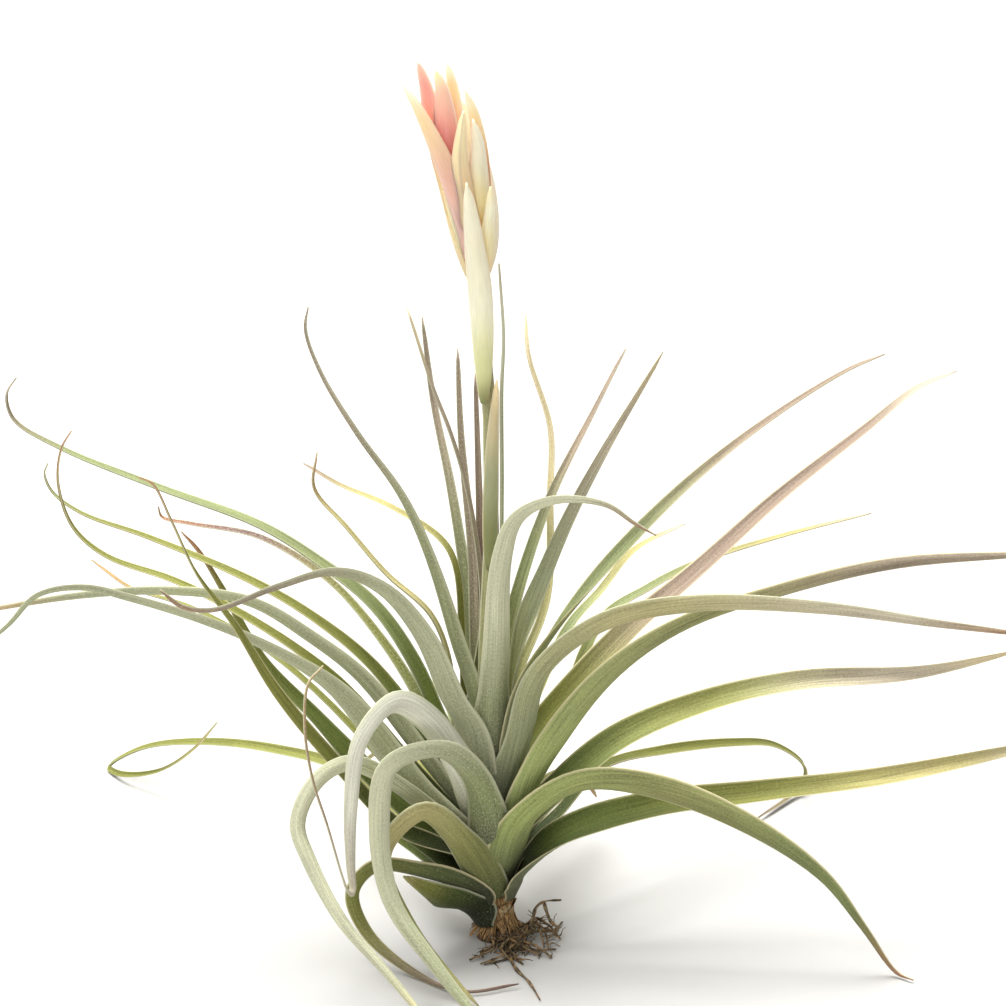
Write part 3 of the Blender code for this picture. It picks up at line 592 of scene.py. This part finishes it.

# %% Colours of the leaves
# A leaf's tones from foot to tip, and the frost on its inner and outer side. The dark pine and moss at the
# feet are partly the leaves' own darker green and partly painted shade of the crowded bases
LOOKS = {
    "leaf_right_01": ("leaf sage frost frost rust", 0.1, 0.2),
    "leaf_right_02": ("leaf olive sage mauve mauve", 0.1, 0.25),
    "leaf_right_03": ("leaf olive silver ash beige", 0.1, 0.3),
    "leaf_right_04": ("olive olive khaki beige beige", 0.2, 0.3),
    "leaf_right_05": ("leaf sage sage mauve mauve", 0.05, 0.25),
    "leaf_right_06": ("leaf olive sage khaki ash", 0.0, 0.1),
    "leaf_right_07": ("leaf olive mauve mauve ash", 0.0, 0.15),
    "leaf_right_08": ("olive olive sage khaki ash", 0.0, 0.1),
    "leaf_right_09": ("lime lime olive mauve mauve", 0.1, 0.25),
    "leaf_right_10": ("pine sage khaki ash rust", 0.1, 0.25),
    "leaf_right_11": ("leaf leaf olive ash beige", 0.05, 0.25),
    "leaf_right_12": ("moss moss olive olive mauve", 0.0, 0.1),
    "leaf_right_13": ("moss leaf olive khaki ash", 0.0, 0.2),
    "leaf_right_14": ("leaf lime olive leaf rust", 0.05, 0.2),
    "leaf_left_01": ("sage silver silver mauve rust", 0.25, 0.25),
    "leaf_left_02": ("leaf sage sage mauve mauve", 0.15, 0.3),
    "leaf_left_03": ("olive olive olive khaki mauve", 0.0, 0.1),
    "leaf_left_04": ("leaf olive khaki khaki tan", 0.1, 0.2),
    "leaf_left_05": ("sage sage sage mauve mauve", 0.2, 0.25),
    "leaf_left_06": ("sage sage mauve mauve beige", 0.2, 0.25),
    "leaf_left_07": ("sage sage mauve mauve mauve", 0.2, 0.25),
    "leaf_left_08": ("sage mauve plum mauve mauve", 0.1, 0.2),
    "leaf_left_09": ("moss leaf sage sage mauve", 0.0, 0.3),
    "leaf_left_10": ("leaf sage olive plum rust", 0.0, 0.15),
    "leaf_left_11": ("moss leaf olive olive sage", 0.0, 0.25),
    "leaf_left_12": ("moss leaf olive olive rust", 0.0, 0.15),
    "leaf_left_13": ("leaf sage silver silver tan", 0.2, 0.35),
    "leaf_left_14": ("moss sage silver silver silver", 0.15, 0.35),
    "leaf_left_15": ("moss moss olive olive rust", 0.0, 0.1),
    "leaf_left_16": ("moss leaf leaf olive rust", 0.0, 0.1),
    "leaf_left_17": ("moss leaf olive olive tan", 0.0, 0.1),
    "leaf_left_18": ("moss olive olive olive khaki", 0.0, 0.1),
    "leaf_curl_01": ("leaf pearl pearl rust tan", 0.2, 0.35),
    "leaf_curl_02": ("pine leaf frost silver sage", 0.1, 0.2),
    "leaf_curl_03": ("leaf olive khaki olive khaki", 0.0, 0.1),
    "leaf_curl_04": ("leaf silver frost frost khaki", 0.15, 0.3),
    "leaf_curl_05": ("pine moss olive mauve plum", 0.0, 0.05),
    "leaf_low_01": ("pine pine moss olive khaki", 0.0, 0.0),
    "leaf_low_02": ("pine pine moss leaf olive", 0.0, 0.0),
    "leaf_low_03": ("pine pine moss leaf olive", 0.0, 0.0),
    "leaf_back_01": ("moss leaf olive khaki tan", 0.05, 0.25),
    "leaf_back_02": ("moss leaf olive sage mauve", 0.05, 0.3),
    "leaf_back_03": ("moss leaf sage khaki rust", 0.05, 0.25),
    "leaf_back_04": ("moss leaf olive khaki tan", 0.05, 0.25),
    "leaf_back_05": ("moss leaf olive mauve tan", 0.05, 0.25),
}
print("looks:", len(LOOKS))

# %% Measures of a leaf
BLADE_THICKNESS = 0.75
THINNING = 0.45  # share of its thickness that a blade loses on its way to the tip
TIP_WIDTH = 1.0
TIP_START = 0.96  # from this share of the length the tip closes
TIP_CLOSING = 0.6
TAPER_POWER = 0.76
CHANNEL = 0.5
SEAT_GAP = 0.45

# The foot: narrower than the blade, clasping the stem, and widened again where it leaves it
FOOT_LEAST = 3.8
FOOT_SHARE = 0.75
FOOT_LENGTH = 22.0
SHEATH = 0.5
SHEATH_START = 5.0
SHEATH_END = 30.0
SHOULDER_RISE = 5.0
SHOULDER_OUT = 2.5

# The foot lies in the shade of its neighbours, and the frost thins out along the blade
FOOT_SHADE = 0.55
FOOT_SHADE_END = 30.0
FROST_LOSS = 0.5

BLADE_STEPS = 7
BLADE_SIDES = 20
print("a blade is", BLADE_THICKNESS, "mm thick and its tip", TIP_WIDTH, "mm wide")

# %% How one leaf is made
def make_leaf(name, slot, level, seat, bearing, full, turns, route):
    outward = Vector((math.cos(math.radians(seat)), math.sin(math.radians(seat)), 0))
    seat_radius = stem_radius(level) + SEAT_GAP + BLADE_THICKNESS / 2
    foot = axis_at(level) + outward * seat_radius
    shoulder = axis_at(level + SHOULDER_RISE) + outward * (seat_radius + SHOULDER_OUT)
    places = smooth_curve([foot, shoulder] + [in_space(point, bearing) for point in route], BLADE_STEPS)
    foot_width = min(full, max(FOOT_LEAST, full * FOOT_SHARE))
    thread = THREADS.get(name, 1)
    names, inner_frost, outer_frost = LOOKS[name]

    def section(distance, length):
        foot_share = ease(distance / FOOT_LENGTH)
        share = distance / length
        width = foot_width + (full - foot_width) * foot_share
        width = TIP_WIDTH + (width - TIP_WIDTH) * max(1 - share / thread, 0) ** TAPER_POWER
        width *= 1 - TIP_CLOSING * ease((share - TIP_START) / (1 - TIP_START))
        past = (distance - SHEATH_START) / (SHEATH_END - SHEATH_START)
        sheath = ease(distance / SHEATH_START) * (1 - ease(past))
        width *= 1 + SHEATH * sheath
        cone_radius = seat_radius + distance * SHOULDER_OUT / SHOULDER_RISE
        wrap = width / 4 / cone_radius
        channel = wrap + (CHANNEL - wrap) * foot_share
        depth = BLADE_THICKNESS / 2 * (1 - THINNING * share)
        tone = tone_at(names, share)
        shade = FOOT_SHADE + (1 - FOOT_SHADE) * ease(distance / FOOT_SHADE_END)

        def tint_at(side, bulge):
            frost = outer_frost if bulge < 0 else inner_frost
            pale = mixed(tone, TONES["frost"], frost * (1 - FROST_LOSS * share))
            return tuple(part * shade for part in pale)

        return width / 2, depth, channel, tint_at

    sheaf = Sheaf()
    sheaf.count = list(LOOKS).index(name)
    sheaf.wrap(frames_along(places, -outward, turns), BLADE_SIDES, section)
    return sheaf.finish(name + "_blade", velvets[slot], slot, name)


# %% Grow the leaves
faces = 0
for leaf in LEAVES:
    piece = make_leaf(*leaf)
    faces += len(piece.data.polygons)
print("leaves:", len(LEAVES), "faces:", faces)

# %% [markdown]
# ## Stem and roots
# Below the leaves the stem is bare for a centimetre: brown, fibrous, ringed with the scars of old leaves and
# ragged with their dry remains. Roots leave its end, dark and wiry, and branch into finer ones. The stem is a
# tube with a section that swells at each scar. The dry remains are small blades: short scales pressed against
# it, longer torn leaf bases over them, and thin fibres that hang over the roots. The roots repeat the rule of
# their solid, with knots of its own random draw, and get rootlets.

# %% Bark finish
def fibrous(name, dark, pale, scale, roughness):
    finish = Finish(name, roughness, Specular_IOR_Level=0.2)
    tint = finish.attribute("tint", COLOUR)
    place = finish.attribute("place", VECTOR)
    fibres = finish.noise(finish.stretch(place, (scale, scale * 0.12, 1)), 1.0, 4.0, 0.7)
    patches = finish.noise(finish.stretch(place, (0.5, 0.3, 1)), 1.0, 3.0)
    tone = finish.mix(finish.ramp(fibres, 0.35, 0.7), dark, pale)
    worn = finish.mix(finish.ramp(patches, 0.45, 0.62) * 0.5, tone, tint)
    finish.feed(finish.shader.inputs["Base Color"], worn)
    finish.feed(finish.shader.inputs["Roughness"], fibres * 0.2 + roughness - 0.1)
    finish.bump(fibres + patches * 0.5, 0.6, 0.0006)
    return finish


bark = fibrous("bark", linear(78, 56, 34), linear(218, 176, 120), 3.0, 0.85)
root_skin = fibrous("root_skin", linear(24, 21, 17), linear(152, 134, 104), 3.0, 0.9)
print("fibrous finishes:", bark.material.name, "and", root_skin.material.name)


# %% Sections of strands and chips
UPRIGHT_FACING = Vector((0, -1, 0))


def round_section(radius_at, tone):
    """A section that is a plain circle, with its radius by share of the length."""
    def section(distance, length):
        radius = radius_at(distance / length)
        return radius, radius, 0.0, lambda side, bulge: tone
    return section


def add_chip(sheaf, points, steps, sides, outward, half_at, depth, hollow, tone):
    """A small dry blade. half_at gives its half width by share of the length."""
    def section(distance, length):
        half = half_at(distance / length)
        return half, depth, half / hollow, lambda side, bulge: tone

    sheaf.wrap(frames_along(smooth_curve(points, steps), -outward), sides, section)


def outward_at(bearing):
    return Vector((math.cos(bearing), math.sin(bearing), 0))


# %% Stem
STEM_STEPS = 150
SCAR_PITCH = 1.45
SCAR_DEPTH = 0.09
BARE_END = 12
BARE_FADE = 4
FOOT_ROUNDING = 0.12
FOOT_ROUNDING_SHARE = 1 / 40

stem = Sheaf()


def stem_height(share):
    return STEM_BOTTOM + (STEM_TOP - STEM_BOTTOM) * share


def stem_girth(share):
    height = stem_height(share)
    scar = abs(math.sin(math.pi * height / SCAR_PITCH))
    bare = 1 - ease((height - BARE_END) / BARE_FADE)
    rounding = FOOT_ROUNDING * (1 - ease(share / FOOT_ROUNDING_SHARE))
    return stem_radius(height) * (1 - SCAR_DEPTH * bare * scar - rounding)


places = [axis_at(stem_height(step / STEM_STEPS)) for step in range(STEM_STEPS + 1)]
stem.wrap(frames_along(places, UPRIGHT_FACING), 36, round_section(stem_girth, TONES["tan"]))
print("stem rings:", len(places))

# %% Scales pressed against the stem
SCALE_COUNT = 34

draw = random.Random(11)
for number in range(SCALE_COUNT):
    outward = outward_at(draw.uniform(0, 2 * math.pi))
    low = draw.uniform(STEM_BOTTOM + 0.3, 11)
    high = low + draw.uniform(2.5, 4.5)
    start = axis_at(low) + outward * (stem_radius(low) - 0.25)
    end = axis_at(high) + outward * (stem_radius(high) + draw.uniform(0.1, 0.55))
    middle = start.lerp(end, 0.5) + outward * 0.15
    width = draw.uniform(1.6, 3.4)
    add_chip(stem, [start, middle, end], 4, 10, outward,
             lambda share: width / 2 * (1 - share) ** 0.6 + 0.1, 0.14, 10, TONES["tan"])
print("scales:", SCALE_COUNT)

# %% Torn bases of old leaves, that stand off the top of the bare foot
TORN_COUNT = 13

for number in range(TORN_COUNT):
    outward = outward_at(2 * math.pi * (number + draw.uniform(-0.3, 0.3)) / TORN_COUNT)
    low = draw.uniform(7.0, 8.5)
    high = low + draw.uniform(2.2, 4.2)
    points = [axis_at(low) + outward * (stem_radius(low) - 0.2),
              axis_at(low * 0.5 + high * 0.5) + outward * (stem_radius(low) + 0.35),
              axis_at(high) + outward * (stem_radius(low) + draw.uniform(0.5, 1.6))]
    width = draw.uniform(2.4, 4.6)
    add_chip(stem, points, 6, 14, outward,
             lambda share: width / 2 * (1 - share ** 3) + 0.1, 0.15, 12, TONES["cream"])
print("torn leaf bases:", TORN_COUNT)

# %% Dry fibres that hang from the bare foot over the roots
FIBRE_COUNT = 54

for number in range(FIBRE_COUNT):
    outward = outward_at(draw.uniform(0, 2 * math.pi))
    sideways = Vector((-outward.y, outward.x, 0)) * draw.uniform(-1.6, 1.6)
    high = draw.uniform(4.5, 9.5)
    points = [axis_at(high) + outward * (stem_radius(high) - 0.1),
              Vector((0, 0, draw.uniform(3.4, 4.4))) + outward * draw.uniform(5.3, 6.0) + sideways * 0.4,
              Vector((0, 0, draw.uniform(0.9, 2.6))) + outward * draw.uniform(6.2, 8.4) + sideways]
    width = draw.uniform(0.7, 2.2)
    add_chip(stem, points, 6, 10, outward,
             lambda share: width / 2 * (1 - 0.8 * share) + 0.05, 0.13, 10, TONES["tan"])
piece = stem.finish("stem_bark", bark, "stem", "stem")
print("stem faces:", len(piece.data.polygons))

# %% Collar that the roots leave
ROOT_COLLAR_RADIUS = 5.6
ROOT_COLLAR_HEIGHT = 3.0

roots = Sheaf()
collar = [Vector((0, 0, ROOT_COLLAR_HEIGHT * step / 10)) for step in range(11)]


def collar_girth(share):
    return ROOT_COLLAR_RADIUS * (1 - 0.14 * share - 0.05 * abs(math.sin(share * 17)))


roots.wrap(frames_along(collar, UPRIGHT_FACING), 28, round_section(collar_girth, TONES["rust"]))
print("root collar:", 2 * ROOT_COLLAR_RADIUS, "mm across")

# %% Roots and rootlets by the rule of their solid
ROOT_RADIUS = 0.5
ROOT_COUNT = 28
ROOT_START = 3.5
ROOT_REACH = (11, 22)
ROOT_ARC = (-100, 0)
SHORT_ROOT_REACH = (9, 12)
SEED = 7
ROOTLETS = 9
SHORT_ROOTLETS = 2
ROOTLET_BEND = 0.7

draw = random.Random(SEED)
twigs = random.Random(23)


def add_root(places, radius, knobs):
    """A root that thins along its length and is knobbly."""
    def girth(share):
        return radius * (1.1 - 0.6 * share) * (1 + knobs * noise.noise(places[0] + Vector((share * 9, 0, 0))))
    roots.wrap(frames_along(places, Vector((0, 0.3, 1))), 6, round_section(girth, TONES["tan"]))


for number in range(ROOT_COUNT):
    in_tuft = number % 5 > 0
    bearing = math.radians(draw.uniform(*ROOT_ARC) if in_tuft else draw.uniform(0, 360))
    reach = draw.uniform(*(ROOT_REACH if in_tuft else SHORT_ROOT_REACH))
    start = draw.uniform(0.8, 1.2)
    rise = draw.uniform(-0.5, 5) if in_tuft else 0
    knots = []
    for step in range(5):
        part = step / 4
        bearing += math.radians(draw.uniform(-22, 22)) * part
        radius = ROOT_START + (reach - ROOT_START) * part
        lift = rise * math.sin(math.pi * max(part - 0.15, 0) / 0.85)
        height = max(start + lift - 2 * part, ROOT_RADIUS * 1.2)
        knots.append(Vector((radius * math.cos(bearing), radius * math.sin(bearing), height)))
    places = smooth_curve(knots, 6)
    add_root(places, ROOT_RADIUS, 0.5)
    for twig in range(ROOTLETS if in_tuft else SHORT_ROOTLETS):
        points = [places[twigs.randrange(6, len(places) - 1)]]
        heading = Vector((twigs.uniform(-1, 1), twigs.uniform(-1, 1), twigs.uniform(-0.4, 0.8)))
        for step in range(3):
            bend = [twigs.uniform(-ROOTLET_BEND, high) for high in (ROOTLET_BEND, ROOTLET_BEND, 0.5)]
            heading += Vector(bend)
            following = points[-1] + heading.normalized() * twigs.uniform(0.8, 2.0)
            following.z = max(following.z, 0.25)
            points.append(following)
        add_root(smooth_curve(points, 3), twigs.uniform(0.12, 0.24), 0.4)
print("roots by rule:", ROOT_COUNT)

# %% Roots that follow the picture
ROOT_ROUTES = [
    [(3, 1, -2), (8, 0, -6), (10, 5, -6), (11, 8, -6), (13, 9.5, -5), (18, 10, -5)],
    [(13, 9.5, -5), (15, 4, -6), (17, 2, -7), (14, -1, -8)],
    [(2, -1, -3), (5, -9, -21.5), (9, -13, -31), (12, -17.5, -42)],
]
for route in ROOT_ROUTES:
    places = smooth_curve([in_space(point) for point in route], 6)
    places = [Vector((p.x, p.y, max(p.z, ROOT_RADIUS * 1.2))) for p in places]
    add_root(places, ROOT_RADIUS * 1.1, 0.6)
piece = roots.finish("root_wires", root_skin, "roots", "root_tuft")
print("root faces:", len(piece.data.polygons))

# %% [markdown]
# ## The flower stalk and its bracts
# The stalk carries long narrow bracts that sheathe it, and ends in a head of broad papery ones: cream
# outside, with brown edges, and pink inside. A bract is a blade as a leaf is, only short, boat-shaped and
# drawn out into a point, so the same wrapped grid makes it, with a deeper channel and a width that swells
# below its middle.

# %% Paper finish
PAPER_GLOW = (1.0, 0.75, 0.55)


def papery(name, veins, edge_tone, edge_share):
    finish = Finish(name, 0.5, Sheen_Weight=0.1, Specular_IOR_Level=0.3, Subsurface_Weight=0.5,
                    Subsurface_Radius=PAPER_GLOW, Subsurface_Scale=0.004)
    tint = finish.attribute("tint", COLOUR)
    place = finish.attribute("place", VECTOR)
    edge = finish.attribute("edge", NUMBER)
    rows = finish.noise(finish.stretch(place, (5.0, 0.12, 1)), 1.0, 3.0)
    patches = finish.noise(finish.stretch(place, (0.4, 0.12, 1)), 1.0, 2.0)
    skin = finish.mix(1.0, tint, (rows - 0.5) * veins + (patches - 0.5) * 0.2 + 1.0, "MULTIPLY")
    margin = (1 - finish.ramp(edge, 0.1, 0.9)) * edge_share
    finish.feed(finish.shader.inputs["Base Color"], finish.mix(margin, skin, edge_tone))
    finish.feed(finish.shader.inputs["Roughness"], (rows - 0.5) * 0.3 + 0.5)
    finish.bump(rows, 0.25, 0.0003)
    return finish


HEAD_TONES = {
    "ivory": linear(250, 243, 206),
    "butter": linear(248, 230, 176),
    "peach": linear(244, 208, 162),
    "blush": linear(238, 180, 162),
    "rose": linear(230, 148, 144),
    "berry": linear(206, 88, 82),
    "green": linear(206, 208, 156),
    "umber": linear(176, 112, 66),
    "keel": linear(188, 176, 160),
}
TONES.update(HEAD_TONES)
cream_paper = papery("cream_paper", 0.4, linear(228, 186, 134), 0.35)
pink_paper = papery("pink_paper", 0.4, linear(250, 226, 190), 0.65)
print("paper finishes:", cream_paper.material.name, "and", pink_paper.material.name)

# %% Bracts of the stalk
BRACT_THICKNESS = 0.8
BRACT_CHANNEL = 0.6
BRACT_TIP_START = 0.93
KEEL_REACH = 0.3  # share of a bract's half width that its darker keel takes up


def add_bract(sheaf, route, width, facing, names, foot=2.0, belly=0.7, keel=0.0):
    """Adds a bract with a drawn-out point. A belly of 1 is widest at mid-length, less is lower."""
    places = smooth_curve([in_space(point) for point in route], 8)

    def section(distance, length):
        share = distance / length
        swell = math.sin(math.pi * min(share, 1) ** belly) ** 0.7 if 0 < share < 1 else 0
        full = foot * (1 - share) + TIP_WIDTH * share + (width - foot / 2) * swell
        full *= 1 - 0.5 * ease((share - BRACT_TIP_START) / (1 - BRACT_TIP_START))
        tone = tone_at(names, share)

        def tint_at(side, bulge):
            ridge = keel * (1 - ease(abs(side) / KEEL_REACH)) if bulge < 0 else 0
            return mixed(tone, TONES["keel"], ridge)

        return full / 2, BRACT_THICKNESS / 2 * (1 - 0.3 * share), BRACT_CHANNEL, tint_at

    sheaf.wrap(frames_along(places, Vector(facing)), 24, section)


stalk_bracts = {
    "stalk_bract_cream": ([(-3.6, 148.4, -3.4), (-3.7, 158, -4.2), (-4, 168, -4.8), (-4.8, 180, -5.6),
                           (-6.2, 191.5, -7.4), (-7.4, 201.6, -8.6), (-8.4, 209, -8.6)], 6.2, (0, 1, 0),
                          "sage green ivory ivory ivory", 2.0, 1.0),
    "stalk_bract_peach": ([(-2, 102, -3.4), (-1.8, 118, -3.8), (-1.4, 133, -3.9), (-0.8, 144, -3.9),
                           (0, 155, -3.9)], 3.8, (0, 1, 0), "sage sage silver beige peach", 2.0, 0.7),
    "stalk_bract_green": ([(1.4, 108, -0.6), (1.6, 127, -0.8), (1.5, 152, -1), (2, 167, -1.2),
                           (0.6, 187, -1.6)], 1.8, (-1, 0, 0), "sage silver silver frost ash", 1.6, 0.7),
}
for name, (*shape, belly) in stalk_bracts.items():
    sheaf = Sheaf()
    add_bract(sheaf, *shape, belly)
    green = name.endswith("green")
    slot = "silver_leaves" if green else "cream_bracts"
    sheaf.finish(name + "_blade", velvets[slot] if green else cream_paper, slot, name)
print("stalk bracts:", len(stalk_bracts))

# %% Stalk
STALK_RADIUS = 2.2
STALK_THINNING = 0.3
STALK_TOP = 196.0
STALK_STEPS = 90
STALK_TONE = mixed(TONES["silver"], TONES["khaki"], 0.4)

stalk = Sheaf()
low = STEM_TOP + SEAT_GAP
places = [axis_at(low + (STALK_TOP - low) * step / STALK_STEPS) for step in range(STALK_STEPS + 1)]
stalk.wrap(frames_along(places, UPRIGHT_FACING), 24,
           round_section(lambda share: STALK_RADIUS - STALK_THINNING * share, STALK_TONE))
piece = stalk.finish("stalk_skin", velvets["green_leaves"], "stalk", "flower_stalk")
print("stalk faces:", len(piece.data.polygons))

# %% The head's axis and cream bracts
SPIKE_AXIS_RADIUS = 2.0
SPIKE_AXIS_TOP = 219.0

cream_head = Sheaf()
heights = [STALK_TOP + SEAT_GAP, STALK_TOP + 7, STALK_TOP + 14, SPIKE_AXIS_TOP]
cream_head.wrap(frames_along([axis_at(height) for height in heights], UPRIGHT_FACING), 20,
                round_section(lambda share: SPIKE_AXIS_RADIUS, TONES["peach"]))
# A bract: route, width, facing, tones and share of its darker keel
CREAM_BRACTS = [
    ([(-6.8, 186, -1), (-8.8, 195, -3), (-12, 205.8, -4.6), (-16, 215.6, -5), (-19.3, 223.2, -4.6),
      (-22.7, 230.2, -3.6), (-26.2, 236.2, -2.2)], 6.4, (0.35, 0.94, 0), "blush blush blush peach ivory", 0),
    ([(-6.5, 181, 0.5), (-8, 188, 0), (-10.2, 194, -0.6), (-12.6, 200.5, -0.8), (-14.8, 207, -0.6)],
     4, (0.5, 0.86, 0), "butter butter butter butter peach", 0),
    ([(-6.5, 193, -1.5), (-7.6, 197, -4.2), (-9.2, 205.8, -5.2), (-10.2, 214.2, -6), (-9.8, 222.6, -5.2),
      (-9.1, 228.7, -4)], 5.2, (0, 1, 0), "peach peach peach butter butter", 0.7),
    ([(-5.2, 187, 0), (-4.2, 196, -2.2), (-4.6, 204.4, -2.8), (-4.7, 212.8, -3.2), (-5, 219.8, -3),
      (-6.6, 226.5, -2)], 6.6, (-0.3, 0.95, 0), "umber umber butter ivory ivory", 0),
    ([(-4.6, 181, 0), (-2.6, 187, -2.8), (-2, 195, -4.4), (-1.6, 201.6, -4.8), (-1.7, 208, -4.6)],
     4.4, (-0.4, 0.9, 0), "umber peach butter ivory butter", 0),
    ([(-5.4, 190, 0.6), (-4, 200, 1), (-3.9, 210, 1), (-4.6, 220, 0.8), (-6.2, 228, 0.4), (-8.9, 234.8, 0)],
     5, (-0.3, 0.95, 0), "peach umber umber peach ivory", 0),
    ([(-5.5, 183, 1.2), (-4, 194, 4.8), (-4.6, 208, 7), (-7, 221, 7), (-9.6, 232, 6.2)],
     7, (0.3, -1, 0), "ivory ivory ivory ivory ivory", 0),
    ([(-6.4, 183, 1), (-9.6, 194, 4.4), (-13.4, 208, 6.4), (-17.6, 221, 6.4), (-20.4, 232, 5.6)],
     7, (0.5, -1, 0), "ivory ivory butter peach ivory", 0),
]
for *shape, keel in CREAM_BRACTS:
    add_bract(cream_head, *shape, foot=4.0, keel=keel)
piece = cream_head.finish("head_cream", cream_paper, "cream_bracts", "spike_cream")
print("cream head faces:", len(piece.data.polygons))

# %% The head's bud and pink bracts
pink_head = Sheaf()
bud = smooth_curve([in_space(point) for point in
                    [(-8.7, 199.4, 0.4), (-9.8, 204, 0.6), (-11.2, 212, 0.4), (-12.6, 218, 0.3)]], 4)
pink_head.wrap(frames_along(bud, UPRIGHT_FACING), 16,
               round_section(lambda share: 1.1 + 0.4 * math.sin(math.pi * share), TONES["berry"]))
PINK_BRACTS = [
    ([(-12, 209, 0.2), (-15.5, 219.8, -0.6), (-18.4, 228.5, -1), (-19.8, 235.2, -1), (-21.8, 242.2, -0.4)],
     5.6, (0.2, 0.95, 0), "berry berry rose rose blush"),
    ([(-11, 208, -0.4), (-12.8, 214, -1.8), (-13.8, 219.8, -2.4), (-14.4, 228.2, -2.6), (-15.2, 234.6, -2),
      (-16.9, 240, -1)], 6.6, (0, 1, 0), "umber berry rose blush butter"),
    ([(-11, 209, 0.8), (-11.1, 219.8, 1.6), (-11.4, 228.8, 1.8), (-12.3, 236, 1.6), (-13.8, 242, 1)],
     4.4, (-0.1, 1, 0), "rose rose blush peach ivory"),
]
for shape in PINK_BRACTS:
    add_bract(pink_head, *shape, foot=2.2)
piece = pink_head.finish("head_pink", pink_paper, "pink_bracts", "spike_pink")
print("pink head faces:", len(piece.data.polygons))
